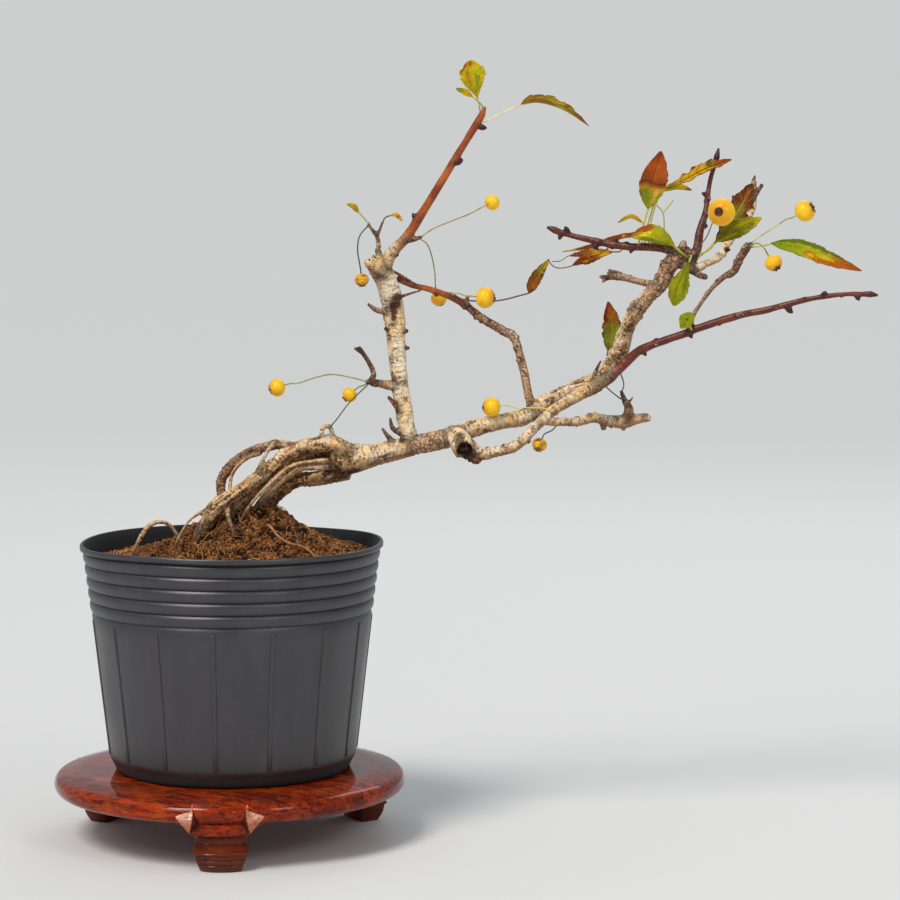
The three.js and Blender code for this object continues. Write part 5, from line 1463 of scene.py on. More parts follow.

# %% [markdown]
# ## Bark
#
# Crabapple bark is thin. Old wood is cream and tan with brown flecks and wrinkles round the limb, a little
# green in patches of algae, dark where it was cut. This year's shoots are polished red-brown with pale
# pores, and the buds are almost black. Painted shade darkens the undersides of limbs, the hollows of the
# relief and the crevices between limbs. One recipe mixes all of these by the attributes kept above.

# %% Bark finish


def limb_rings(where):
    """Broken rings round a limb, from the distance along it."""
    phase = maths("MULTIPLY_ADD", speckle(where, 160), 7, attribute("along"))
    wave = maths("SINE", times(phase, 2.6))
    return times(band(wave, 0.15, 0.95), band(speckle(where, 300), 0.42, 0.58))


def grained(scale, round_limb, down_limb, detail=4):
    """Noise in a limb's own frame, in features per millimetre: the smaller a factor, the longer they run."""
    wide = node("VectorMath", {0: attribute("across", "Vector"), 3: round_limb}, operation="SCALE").outputs[0]
    long = times(attribute("along"), down_limb)
    inputs = {"Vector": wide, "W": long, "Scale": scale, "Detail": detail, "Roughness": 0.6}
    return node("TexNoise", inputs, noise_dimensions="4D").outputs[0]


def old_bark(where, rings):
    """Cream and tan, brown strands along, dark dashes across; painted shade underneath and in hollows."""
    flake = speckle(where, 380, detail=6, rough=0.7, warp=0.8)
    fluted = attribute("fluted")
    # Painted shade on the limb's underside, broken up by the flakes.
    underside_shade = times(attribute("under"), band(flake, 0.3, 0.6, 0.5, 1.2))
    return layered(
        mixed(band(speckle(where, 100, detail=4), 0.4, 0.62), "FFF4D8", "FFD89E"),
        (times(fluted, 0.45), "E6AC66"),
        (times(band(grained(0.6, 1, 0.2), 0.5, 0.62, 0, 0.95), fluted), "AC7240"),
        (band(flake, 0.54, 0.59, 0, 0.6), "B67C48"),
        (times(rings, 0.45), "A87E48"),
        (band(grained(0.95, 0.4, 1.1, detail=3), 0.605, 0.635, 0, 0.92), "643A20"),
        (band(speckle(where, 60, detail=4), 0.56, 0.68, 0, 0.35), "B09A58"),
        (maths("MINIMUM", underside_shade, 0.8), "966238"),
        # Painted shade in the hollows of the relief.
        (band(attribute("relief"), -0.4, -0.08, 0.9, 0), "523018"),
    )


def dark_bark(where, rings, pale, dark):
    """Rosy tan with fine near-black cracks where it is a little dark, purple-brown beyond."""
    cells = {"Vector": wandering(where, 260, 2.2), "Scale": 360}
    net = node("TexVoronoi", cells, feature="DISTANCE_TO_EDGE").outputs[0]
    purple = mixed(band(speckle(where, 600, detail=4), 0.4, 0.62), "5A2E20", "A07052")
    return layered(
        pale,
        (times(band(dark, 0.3, 0.55, 0, 0.7), band(attribute("age"), 0.4, 0.8)), "B88A6C"),
        (band(dark, 0.66, 0.85), mixed(times(rings, 0.35), purple, "B08468")),
        (times(band(net, 0.02, 0.13, 0.9, 0), band(dark, 0.4, 0.58)), "3A241A"),
    )


def young_bark(where, rings):
    """This year's polished red-brown, orange on the brightest shoots, with pale pores."""
    patch = band(speckle(where, 95), 0.4, 0.65)
    return layered(
        mixed(attribute("ember"), mixed(patch, "54190F", "823620"), mixed(patch, "8A3A12", "C0641E")),
        (band(speckle(where, 720, detail=4, rough=0.6), 0.64, 0.72, 0, 0.5), "D8A078"),
        (times(rings, 0.3), "3E1A10"),
    )


def cut_wood():
    """Round the middle of a cut: a near-black hollow with one brown ring in it."""
    nearness = attribute("cut")
    ring = times(band(nearness, 0.38, 0.46), band(nearness, 0.52, 0.62, 1, 0))
    return mixed(times(ring, 0.8), "1C100B", "7A4C34")


def bark():
    """Old, dark and young bark by age, then what marks single places and painted shade between limbs."""
    where = in_place()
    rings = limb_rings(where)
    age = attribute("age")
    edges = speckle(where, 330, detail=5, rough=0.65)
    old = band(plus(age, band(edges, 0.2, 0.8, -0.18, 0.18)), 0.25, 0.75)
    dark = plus(attribute("dark"), band(edges, 0.2, 0.8, -0.2, 0.2))
    pale = mixed(old, young_bark(where, rings), old_bark(where, rings))
    earth = plus(band(attribute("soil_gap"), 0, 16, 0.85, 0), band(edges, 0.3, 0.7, -0.3, 0.3))
    colour = layered(
        dark_bark(where, rings, pale, dark),
        # Painted shade where a limb lies close against another.
        (times(attribute("crevice"), 0.72), "341D0F"),
        (times(attribute("thread"), 0.9), mixed(band(height_of(where), 0.28, 0.3), "4E4E44", "BCAE58")),
        (times(attribute("bud"), 0.85), "2E1512"),
        (band(attribute("cut"), 0.02, 0.12), cut_wood()),
        (times(band(earth, 0.3, 0.7, 0, 0.8), band(attribute("ember"), 0.1, 0.5, 1, 0.15)), "4E3220"),
    )
    fine = speckle(where, 720, detail=4, rough=0.6)
    rough = maths("MULTIPLY_ADD", rings, 0.5, maths("MULTIPLY_ADD", edges, 1.5, fine))
    return {
        "Base Color": colour,
        "Roughness": band(age, 0.1, 0.7, 0.34, 0.82),
        "Normal": bumped(times(rough, band(age, 0.05, 0.6, 0.04, 1)), 0.85, 0.88),
    }


BARK = finish_from("crabapple_bark", bark, Specular_IOR_Level=0.4)
dress(wood, BARK)
place(wood, "tree")

# %% [markdown]
# ## The leaves
#
# It is autumn, and each of the nineteen leaves left is at another stage: still green, yellow, red with a
# green base, or curled and brown. A leaf is a flat grid whose points are carried to a curved midrib, folded
# up along it, puckered between the side veins, toothed at the edges and then given a thin thickness. The
# grid's own UV map stays with it, so that veins and colours follow the blade however it curls: U runs from
# the stalk to the tip and V from one edge to the other.
#
# stalk and rib are listed points; face and tip_face say which way the upper side looks at the two ends of
# the rib; half is half the width; teeth are counted along one edge; fold is the angle in radians by which
# each half is folded up; wave is the ripple of the edges; peak is where the blade is widest; tail is the
# share of the rib that is only a thin dried tip; strip is how wide that tip still is, as a share of the
# widest; stout is how thick the stalk is against the others. What a leaf leaves out is as in PLAIN_SHAPE,
# and a leaf without a tip_face looks the same way at both ends.

# %% Leaf routes
LEAVES = {
    "leaf_apex_broad": dict(
        stalk=[(123.5, -12, 358), (123, -13.5, 361), (122, -14, 366)],
        rib=[(122, -14, 366), (120, -13.5, 375), (118.3, -14, 384.7)], face=(-0.1, -1, 0.1),
        tip_face=(0.1, -1, -0.2), half=7.4, teeth=5, fold=0.25, wave=0.5, peak=0.62),
    "leaf_apex_long": dict(
        stalk=[(123, -12.4, 354.6), (127.5, -12.7, 356), (133, -13, 359), (143, -14, 363.5)],
        rib=[(143, -14, 363.5), (150, -15, 364.6), (157, -15.5, 363.4), (165.5, -16, 360),
             (176, -15, 353)], face=(-0.1, -0.5, 1), tip_face=(0.5, -0.6, 0.8), half=4.6, teeth=7,
        fold=0.9, wave=0.3, peak=0.3),
    "leaf_apex_bud": dict(
        stalk=[(124.6, -12.5, 361.5), (123.5, -17, 363.5), (119.5, -18.5, 367)],
        rib=[(119.5, -18.5, 367), (116, -18.5, 369), (111.5, -18, 371)], face=(-0.3, -1, 0.5), half=1.9,
        teeth=2, fold=0.5),
    "leaf_crown_left": dict(
        stalk=[(68.5, 4, 305), (65.5, 3, 309), (63.5, 2.5, 311)],
        rib=[(63.5, 2.5, 311), (61, 1.5, 313.5), (58, 0, 315)], face=(0.3, -0.8, 0.6), half=2.1, teeth=2,
        fold=0.4),
    "leaf_crown_right": dict(
        stalk=[(75, 4, 305.5), (76.5, 3, 308.5), (79, 2.5, 309.5)],
        rib=[(79, 2.5, 309.5), (81.5, 2, 309.5), (85, 1, 307)], face=(0.2, -0.7, 0.8), half=1.7, teeth=2,
        fold=0.4),
    "leaf_behind_trunk": dict(
        stalk=[(189.5, 8, 235), (187, 15.5, 239), (187.5, 17, 242)],
        rib=[(187.5, 17, 242), (189.5, 18, 252), (187.5, 16.5, 266.5)], face=(-0.2, -1, 0),
        tip_face=(0.1, -1, 0.1), half=5.4, teeth=6, fold=0.25, wave=0.3),
    "leaf_shoot_round": dict(
        stalk=[(226, -12.8, 252.5), (226.5, -15, 254.4), (225.6, -16, 255.6)],
        rib=[(225.6, -16, 255.6), (223.4, -17, 258.6), (220.6, -17.5, 260.6)], face=(0.1, -1, 0.3),
        half=5.2, teeth=3, fold=0.25),
    "leaf_right_long": dict(
        stalk=[(252.5, -20, 294), (259, -21.5, 295), (264, -22, 296)],
        rib=[(264, -22, 296.4), (278, -24, 294), (292, -26, 288.6), (307.5, -28, 283.2)],
        face=(0, -0.9, 0.5), tip_face=(0.3, -0.9, 0.3), half=4.9, teeth=9, fold=0.25, wave=0.4),
    "leaf_fruit_high": dict(
        stalk=[(230.5, 1, 290.4), (235.5, -2.6, 292.4), (238.7, -3.5, 296)],
        rib=[(238.7, -3.5, 296), (246, -2, 306), (252.6, -1, 316), (257.2, 0, 325)], face=(-0.2, -1, 0.1),
        tip_face=(-0.4, -1, 0), half=7.4, teeth=7, fold=0.3, wave=0.6, peak=0.55),
    "leaf_fruit_low": dict(
        stalk=[(230, 0.5, 288.2), (234.6, -8, 292.8), (237.6, -11, 296.6)],
        rib=[(237.6, -11, 296.6), (243.8, -12, 300.2), (251.4, -12, 304), (260.6, -11, 308.6)],
        face=(-0.1, -1, 0.2), tip_face=(-0.2, -1, 0.4), half=4.9, teeth=6, fold=0.3, wave=0.5, peak=0.5),
    "leaf_hanging": dict(
        stalk=[(226, -1, 289.5), (227, -7, 290), (225.6, -9, 287)],
        rib=[(225.6, -9, 287), (222.6, -10, 280), (220, -10.5, 273), (218.4, -10, 265.6)],
        face=(-0.1, -1, 0.1), tip_face=(0.1, -1, -0.2), half=5.5, teeth=6, fold=0.25, wave=0.4, peak=0.6),
    "leaf_upright": dict(
        stalk=[(201.4, 7, 293.6), (203.6, 5.5, 303), (206.2, 4.5, 312.6)],
        rib=[(206.2, 4.5, 312.6), (207.6, 3.5, 322), (210, 3, 331), (212.4, 3, 341)], face=(-0.1, -1, 0),
        tip_face=(0.2, -1, 0.1), half=7.3, teeth=7, fold=0.28, wave=0.5, peak=0.46, stout=1.3),
    "leaf_edge_on": dict(
        stalk=[(204.6, 7, 294), (206.6, 8.2, 305.4), (209.4, 8.5, 314.6), (213.6, 9, 321.6)],
        rib=[(213.6, 9, 321.6), (224.4, 8, 327), (235, 7, 332.6), (247.4, 6.5, 337)],
        face=(-0.4, -0.8, 0.6), tip_face=(-0.4, -0.9, 0.4), half=4, teeth=8, fold=0.5, wave=0.5,
        peak=0.56),
    "leaf_spur_yellow": dict(
        stalk=[(206.6, 6.3, 294), (208, 10.8, 305.6), (210.6, 12.5, 314.6), (213.6, 14, 321.4)],
        rib=[(213.6, 14, 321.4), (220.6, 14, 323.4), (228.4, 13.5, 322)], face=(0, -0.7, 0.7), half=2.8,
        teeth=3, fold=0.4),
    "leaf_spur_stipule": dict(
        stalk=[(203, 8.6, 294.6), (204.6, 10.2, 300), (204.4, 10.4, 305.6)],
        rib=[(204.4, 10.4, 305.6), (198.4, 10.2, 308.6), (191.6, 8.5, 306)], face=(0, -0.7, 0.7), half=1.7,
        teeth=2, fold=0.5),
    "leaf_twig_long": dict(
        stalk=[(227, -1, 288), (222, -5.5, 291.6), (218.6, -6.2, 294.6)],
        rib=[(218.6, -6.2, 294.6), (211.6, -5, 298.8), (205.2, -2, 300.4), (199.4, 3, 299.8),
             (194.4, 10, 298.8), (189.6, 15, 297.4), (185, 18, 295.6), (178.6, 20, 293.8),
             (171.6, 19.5, 292.4), (164.6, 18, 291.4)], face=(0.1, -0.9, 0.5), tip_face=(0.1, -0.8, 0.6),
        half=5.6, teeth=12, fold=0.3, wave=0.3, peak=0.48, tail=0.62, strip=0.36, stout=1.5),
    "leaf_curl_upper": dict(
        stalk=[(188, 11, 295), (186, 8, 292.6), (183, 7.5, 291.4)],
        rib=[(183, 7.5, 291.4), (175, 7, 289.9), (170, 7, 289.6), (167, 8, 289.4), (163.4, 10, 287),
             (159.5, 12, 286.6)], face=(0.1, -0.8, 0.5), tip_face=(0.1, -0.5, 0.9), half=3.2, teeth=7,
        fold=0.6, wave=0.2, peak=0.4, tail=0.4),
    "leaf_curl_lower": dict(
        stalk=[(195, 9, 294), (193, 12, 291.6), (190, 13, 291.4)],
        rib=[(190, 13, 291.4), (183, 13, 290.2), (177.5, 12.5, 287.8), (172.4, 12, 286),
             (167.5, 12, 284), (162.4, 13, 283.4), (159.4, 14, 284.6), (157.3, 14.5, 287.6)],
        face=(0.2, -0.9, 0.4), tip_face=(0.2, -0.7, 0.7), half=3.8, teeth=9, fold=0.5, wave=0.3, peak=0.5,
        tail=0.4),
    "leaf_middle_branch": dict(
        stalk=[(110, 12.6, 269.5), (118, 19.5, 267), (132, 21, 266.8), (148, 20, 270.6)],
        rib=[(148, 20, 270.6), (150.4, 20, 276), (154, 19.5, 282), (158, 19, 287.4)], face=(-0.1, -1, 0.1),
        half=3.7, teeth=5, fold=0.55, wave=0.2, peak=0.34),
}

# %% The blade's shape
LEAF_THICKNESS = 0.34
STALK_RADIUS = 0.4
STALK_SIDES = 8
LEAF_SHARP = 50
STATIONS_PER_TOOTH = 12
ACROSS = 17
VEIN_LEAN = 0.55
PUCKER = 0.16


def blade_outline(t, peak, tail, strip):
    """Half the blade's width at a share t of its length, as a share of the widest."""
    share = min(1.0, t / (1 - tail))
    swell = math.sin(math.pi * share ** (math.log(0.5) / math.log(peak)))
    ribbon = strip * min(1.0, 3 * (1 - t), 8 * t)
    return max(0.06, ribbon, max(0.0, swell) ** 0.85)


def tooth_at(t, teeth, depth):
    """A row of teeth that lean towards the tip, each with a smaller one on its back."""
    phase = (t * teeth) % 1.0
    small = (t * teeth * 2) % 1.0
    return 1 - depth * (0.13 * (1 - phase ** 0.7) + 0.035 * (1 - small))


def side_veins(t, v, teeth):
    """1 on a side vein and 0 between two, veins leaning from the rib towards the tip."""
    phase = (t - VEIN_LEAN * abs(v) / teeth * 1.6) * teeth
    return 0.5 + 0.5 * math.cos(2 * math.pi * phase)


class Rib:
    """A leaf's midrib as a smooth line, with the blade's frame at any share of its length."""

    def __init__(self, spec):
        route = [Vector(point) for point in smooth_route(spec["rib"], 0.4)]
        steps = [0.0] + [(b - a).length for a, b in zip(route, route[1:])]
        self.route, self.reach = route, np.cumsum(steps)
        self.face = Vector(spec["face"]).normalized()
        self.tip_face = Vector(spec["tip_face"]).normalized()

    def at(self, t):
        """The point, the way along, the way to one side and the way up at a share t of the rib."""
        here = t * self.reach[-1]
        i = min(len(self.route) - 2, int(np.searchsorted(self.reach, here, side="right")) - 1)
        span = self.reach[i + 1] - self.reach[i]
        centre = self.route[i].lerp(self.route[i + 1], (here - self.reach[i]) / span)
        low, high = max(0, i - 2), min(len(self.route) - 1, i + 3)
        along = (self.route[high] - self.route[low]).normalized()
        look = self.face.lerp(self.tip_face, t)
        side = along.cross(look).normalized()
        return centre, along, side, side.cross(along).normalized()


def blade_point(spec, rib, t, v, seed):
    """Where a point of the flat grid lies on the leaf: t along the rib, v from -1 to 1 across."""
    centre, along, side, up = rib.at(t)
    width = blade_outline(t, spec["peak"], spec["tail"], spec["strip"])
    sign = 1 if v > 0 else -1
    edge = abs(v) ** 3
    ragged = 1 - spec["ragged"] * edge * max(0.0, noise.noise(Vector((t * 9, sign * 3, seed))) + 0.2)
    half = spec["half"] * width * (1 + (tooth_at(t, spec["teeth"], spec["depth"]) - 1) * edge) * ragged
    cup = abs(v) ** 1.25 * math.sin(spec["fold"]) * half
    ripple = spec["wave"] * math.sin(t * 2 * spec["teeth"] * 1.7 + sign * 0.8) * width * abs(v)
    crisp = spec["crisp"] * abs(v) ** 2 * noise.noise(Vector((t * 14, v * 2.5, seed + 5))) * width
    pucker = -PUCKER * side_veins(t, v, spec["teeth"]) * abs(v) ** 0.5 * (1 - abs(v)) * min(1.0, half / 4)
    keel = -0.22 * math.exp(-(v / 0.07) ** 2) * min(1.0, half / 3)
    flat = half * v * math.cos(spec["fold"] * abs(v) ** 0.4)
    forward = 0.5 * edge * (0 < t < 1)
    return centre + side * flat + up * (cup + ripple + crisp + pucker + keel) + along * forward


def leaf_blade(name, spec, seed):
    """A toothed, folded blade with its UV map, from a flat grid."""
    rib = Rib(spec)
    stations = STATIONS_PER_TOOTH * spec["teeth"]
    leaf = primitive("grid", x_subdivisions=stations, y_subdivisions=ACROSS - 1, size=2, calc_uvs=True)
    leaf.name = name
    leaf.data.uv_layers[0].name = "blade"
    reshape(leaf, lambda flat: spot(*blade_point(spec, rib, (flat.x + 1) / 2, flat.y, seed)))
    apply_modifier(leaf, "SOLIDIFY", thickness=LEAF_THICKNESS * MM, offset=0, use_even_offset=False)
    return leaf


def stalk_of(name, points, radius, foot=1.5):
    """A thin stalk that is a little swollen where it left the twig."""
    route = smooth_route([(*point, radius) for point in points], 1.2)
    for i, swell in enumerate((foot, 1 + (foot - 1) * 0.5)):
        route[i][3] *= swell
    return tube(name, [route], STALK_SIDES)


# %% How each leaf has turned
# along is the blade's colour from stalk to tip. edge is what its margin turns to and reach is how far that
# comes in; spots is how much of that colour breaks out in spots. A patch is (where along, where across, how
# far it reaches along and across, colour); across runs from -1 on one edge to 1 on the other. veins is how
# strongly the veins show, vein their colour. ragged and crisp shape the dried margins, teeth is how deep the
# teeth are cut, and stalk is the stalk's two colours.
PLAIN_LEAF = dict(
    edge="9A7A2A", reach=0.06, spots=0.1, patches=[], veins=0.25, vein="E0D888", ragged=0, crisp=0, teeth=1,
    stalk=("C8C45A", "A8A03C"))
LEAF_LOOKS = {
    "leaf_apex_broad": dict(
        along=[(0, "D8C83C"), (0.2, "98A01C"), (0.5, "B8BC22"), (0.8, "C8C828"), (1, "C8A028")],
        edge="E0D030", reach=0.1, ragged=0.2, crisp=0.8,
        patches=[(0.55, -0.35, 0.22, 0.16, "B88A24"), (0.45, 0.3, 0.2, 0.2, "8C9C14"),
                 (0.93, -0.1, 0.1, 0.55, "C85A22"), (0.82, -0.95, 0.2, 0.3, "A8401C"),
                 (0.98, -0.3, 0.05, 0.2, "6A2414")]),
    "leaf_apex_long": dict(
        along=[(0, "A87E28"), (0.18, "98702A"), (0.32, "988A38"), (0.55, "ACA844"), (0.76, "8C8A2C"),
               (0.85, "A04A18"), (0.95, "C88A28"), (1, "D8A830")],
        edge="8A5218", reach=0.16, ragged=0.1, crisp=0.6, stalk=("E8E0A4", "D8CC84"),
        patches=[(0.62, -0.6, 0.05, 0.4, "A05A2C"), (0.86, -0.4, 0.1, 0.7, "983412"),
                 (0.3, 0.6, 0.2, 0.3, "8A6A24")]),
    "leaf_apex_bud": dict(along=[(0, "D8B848"), (0.5, "C8B43C"), (0.75, "98A828"), (1, "7E9420")]),
    "leaf_crown_left": dict(along=[(0, "C8A878"), (0.3, "A8A850"), (0.5, "C89838"), (0.75, "D4D43C"),
                                   (1, "8A9A28")]),
    "leaf_crown_right": dict(
        along=[(0, "A8A040"), (0.25, "D8C848"), (0.48, "D8983C"), (0.6, "9A5A28"), (0.75, "E0B848"),
               (1, "E8D060")],
        stalk=("8A7A3C", "5A5A3C")),
    "leaf_behind_trunk": dict(
        along=[(0, "5E4A2A"), (0.2, "7A8438"), (0.45, "6A7428"), (0.62, "8A5A24"), (0.8, "9A4A20"),
               (1, "7A3018")],
        edge="6A2414", reach=0.2, spots=0.4, ragged=0.2, crisp=0.7, teeth=0.6, stalk=("6A5A30", "4A3A20"),
        patches=[(0.8, -0.7, 0.3, 0.35, "6A2414"), (0.3, 0.6, 0.2, 0.3, "8C9C3C")]),
    "leaf_shoot_round": dict(
        along=[(0, "A8B838"), (0.5, "86A41C"), (1, "96AC28")], edge="C4C85C", teeth=0.3,
        patches=[(0.5, 0.2, 0.1, 0.12, "4E5E10"), (0.35, -0.4, 0.1, 0.12, "556614")]),
    "leaf_right_long": dict(
        along=[(0, "7A9C28"), (0.25, "8CA830"), (0.45, "A8BC48"), (0.62, "98A838"), (0.74, "B8603A"),
               (1, "A24A30")],
        edge="5E7A1C", reach=0.05, crisp=0.4, teeth=0.7,
        patches=[(0.3, -0.75, 0.4, 0.3, "55761A"), (0.66, 0.7, 0.2, 0.45, "B4583C"),
                 (0.44, 0.35, 0.07, 0.4, "C8702C"),
                 (0.45, 0.4, 0.035, 0.2, "E8C890"), (0.6, 0.0, 0.12, 0.25, "D8D078"),
                 (0.72, -0.8, 0.2, 0.25, "6E6A24")]),
    "leaf_fruit_high": dict(
        along=[(0, "66561E"), (0.3, "6A601E"), (0.52, "66521C"), (0.68, "6A3219"), (1, "5A2418")],
        edge="502014", reach=0.2, spots=0.5, ragged=0.5, crisp=1.8,
        patches=[(0.3, -0.8, 0.4, 0.5, "542214"), (0.55, 0.1, 0.15, 0.4, "74702A"),
                 (0.85, 0.0, 0.12, 0.3, "8A4A30")]),
    "leaf_fruit_low": dict(
        along=[(0, "98982A"), (0.3, "6E7A18"), (0.55, "76861C"), (0.8, "969E24"), (0.95, "C4BC34"),
               (1, "D8C83C")],
        edge="6A661A", reach=0.08, ragged=0.1, crisp=0.6, stalk=("D8C03C", "C8A83C"),
        patches=[(0.62, -0.35, 0.16, 0.22, "AEB036"), (0.35, 0.3, 0.14, 0.2, "A0A42C"),
                 (0.2, -0.4, 0.15, 0.4, "566014"),
                 (0.75, 0.35, 0.12, 0.25, "626E16")]),
    "leaf_hanging": dict(
        along=[(0, "6E7E20"), (0.3, "7E9020"), (0.6, "8C9E28"), (1, "84962A")], edge="A8AC44", crisp=0.3,
        patches=[(0.5, 0.55, 0.3, 0.3, "A0B03C"), (0.45, -0.5, 0.3, 0.25, "6A7C1A"),
                 (0.78, 0.05, 0.05, 0.15, "A8702C")]),
    "leaf_upright": dict(
        along=[(0, "A89A3C"), (0.12, "8C9A3C"), (0.26, "84903A"), (0.34, "B88A3C"), (0.4, "8A5228"),
               (0.44, "5A2A18"),
               (0.5, "98441F"), (0.75, "A8502A"), (1, "7E341C")],
        edge="7A3018", reach=0.1, spots=0.3, ragged=0.1, crisp=0.6, teeth=0.5, veins=0.12, vein="D8A070",
        stalk=("E0C858", "C8B040"),
        patches=[(0.24, 0.45, 0.12, 0.2, "D8A478"), (0.2, -0.5, 0.16, 0.35, "748A34")]),
    "leaf_edge_on": dict(
        along=[(0, "B8A438"), (0.3, "C4A432"), (0.6, "CCA634"), (0.76, "A08A2C"), (0.84, "A04E24"),
               (1, "783020")],
        edge="7E3C18", reach=0.22, spots=0.35, ragged=0.4, crisp=1.6, veins=0.8, vein="5E3414",
        patches=[(0.72, -0.4, 0.05, 0.4, "4E5E1C"), (0.92, 0.2, 0.05, 0.3, "C86A30")]),
    "leaf_spur_yellow": dict(along=[(0, "D8CC58"), (0.4, "B8BC48"), (0.7, "C8C45C"), (0.88, "B86A50"),
                                    (1, "8A3A34")]),
    "leaf_spur_stipule": dict(along=[(0, "D8B860"), (0.5, "D0B44C"), (0.85, "A8A03C"), (1, "7E7824")]),
    "leaf_twig_long": dict(
        along=[(0, "B0AC3C"), (0.06, "88982C"), (0.14, "98A82E"), (0.24, "C4C444"), (0.32, "B4B43A"),
               (0.37, "8A3A24"),
               (0.7, "94402A"), (0.82, "A05030"), (0.9, "D0B83C"), (1, "D8C448")],
        edge="9A4028", reach=0.06, crisp=0.7, teeth=0.5, stalk=("B8B444", "98983A"),
        patches=[(0.28, 0.7, 0.09, 0.5, "A0402C"), (0.16, -0.7, 0.14, 0.35, "5E7C1E"),
                 (0.25, -0.1, 0.05, 0.3, "ECE4A0"),
                 (0.2, 0.15, 0.03, 0.2, "E8E090"), (0.47, 0.2, 0.02, 0.6, "D8A088")]),
    "leaf_curl_upper": dict(
        along=[(0, "D8B438"), (0.18, "96602C"), (0.4, "7E4028"), (0.8, "662C20"), (1, "4A2820")],
        edge="8E3A24", reach=0.3, spots=0.5, ragged=0.2, crisp=1.0, stalk=("8A4A38", "6A3428")),
    "leaf_curl_lower": dict(
        along=[(0, "E4C43A"), (0.14, "D0A830"), (0.26, "925028"), (0.42, "7E3824"), (0.7, "682C1E"),
               (0.85, "5A3424"),
               (1, "4E4030")],
        edge="8A3420", reach=0.3, spots=0.5, ragged=0.2, crisp=1.0, stalk=("C8A038", "8A6A30"),
        patches=[(0.3, 0.4, 0.05, 0.4, "5A2A14"), (0.42, -0.3, 0.05, 0.4, "D09030")]),
    "leaf_middle_branch": dict(
        along=[(0, "7A4438"), (0.15, "925638"), (0.45, "844828"), (0.6, "8E7430"), (0.8, "A8A03C"),
               (1, "CCC048")],
        edge="5E3420", reach=0.16, spots=0.4, ragged=0.1, crisp=0.5, teeth=0.5, stalk=("6A4A50", "5A3A3C"),
        patches=[(0.55, 0.75, 0.06, 0.5, "46301C"), (0.7, 0.75, 0.05, 0.5, "4A3420"),
                 (0.08, 0.6, 0.1, 0.6, "4A2A1E")]),
}

# %% Leaf finishes
AUTUMN_LEAVES = (
    "leaf_apex_long", "leaf_behind_trunk", "leaf_upright", "leaf_edge_on", "leaf_curl_upper",
    "leaf_curl_lower", "leaf_middle_branch", "leaf_fruit_high",
)
# What the pigments let through: green leaves almost no blue, turned ones a little.
GREEN_TONE = (1.05, 0.84, 0.03, 1)
AUTUMN_TONE = (1.15, 1.0, 0.25, 1)
PLAIN_SHAPE = dict(wave=0, peak=0.42, tail=0, strip=0, stout=1)


def leaf_tissue(given):
    """From the blade's UV map: its veins, its distance from the edge and its blotches."""
    t, up = node("SeparateXYZ", {0: given["Blade"]}).outputs[:2]
    across = maths("MULTIPLY_ADD", up, 2, -1)
    v = maths("ABSOLUTE", across)
    phase = maths("SUBTRACT", times(t, given["Teeth"]), times(v, VEIN_LEAN * 1.6))
    side = band(maths("COSINE", times(phase, 2 * math.pi)), 0.86, 1)
    broad = speckle(given["Where"], 160)
    net = node("TexVoronoi", {"Vector": given["Where"], "Scale": 1300}, feature="DISTANCE_TO_EDGE")
    return {
        "Veins": maths("MAXIMUM", band(v, 0.03, 0.1, 1, 0), times(side, band(v, 0.7, 0.98, 0.8, 0.1))),
        "Along": maths("MULTIPLY_ADD", broad, 0.16, maths("SUBTRACT", t, 0.08)),
        "Across": across,
        "Rim": plus(v, maths("MULTIPLY_ADD", broad, 0.6, -0.3)),
        "Cloud": speckle(given["Where"], 420, detail=5, rough=0.65),
        "Net": band(net.outputs[0], 0, 0.2),
    }


LEAF_TISSUE = effect(
    "leaf_tissue",
    [("Blade", "Vector"), ("Where", "Vector"), ("Teeth", "Float")],
    ["Veins", "Along", "Across", "Rim", "Cloud", "Net"],
    leaf_tissue,
)


def patched(colour, tissue, patch):
    """The colour, with one rough-edged patch of another laid over it."""
    along, across, long, wide, code = patch
    run = maths("DIVIDE", maths("SUBTRACT", tissue["Along"], along), long)
    side = maths("DIVIDE", maths("SUBTRACT", tissue["Across"], across), wide)
    away = maths("SQRT", plus(maths("POWER", run, 2), maths("POWER", side, 2)))
    away = plus(away, maths("MULTIPLY_ADD", tissue["Cloud"], 1.4, -0.7))
    return mixed(band(away, 0.75, 1.1, 0.92, 0), colour, code)


def leaf_finish(name, look, teeth):
    """A leaf's own colours, from its stalk to its tip and in from its edges."""

    def recipe():
        blade = node("UVMap", uv_map="blade").outputs[0]
        tissue = use(LEAF_TISSUE, Blade=blade, Where=in_place(), Teeth=teeth)
        colour = ramp(tissue["Along"], look["along"])
        for patch in look["patches"]:
            colour = patched(colour, tissue, patch)
        low = 0.74 - 0.2 * look["spots"]
        colour = layered(
            colour,
            (band(tissue["Rim"], 0.98 - look["reach"], 1.1 - look["reach"] * 0.6), look["edge"]),
            (band(tissue["Cloud"], low, low + 0.06, 0, 0.8), look["edge"]),
            (times(tissue["Veins"], look["veins"]), look["vein"]),
            (band(tissue["Cloud"], 0.3, 0.6, 0.2, 0), "3E3C14"),
        )
        tone = AUTUMN_TONE if name in AUTUMN_LEAVES else GREEN_TONE
        height = maths("SUBTRACT", times(tissue["Net"], 0.5), tissue["Veins"])
        return {
            "Base Color": mixed(1, colour, tone, blend="MULTIPLY"),
            "Roughness": band(tissue["Cloud"], 0.3, 0.7, 0.42, 0.65),
            "Normal": bumped(plus(height, tissue["Cloud"]), 0.3, 0.8),
        }

    return finish_from(name + "_blade", recipe, Specular_IOR_Level=0.22)


def stalk_finish(name, codes):
    """A stalk's two colours, in soft patches."""

    def recipe():
        return {"Base Color": mixed(band(speckle(in_place(), 200), 0.4, 0.6), *codes)}

    return finish_from(name + "_stalk", recipe, Roughness=0.5)


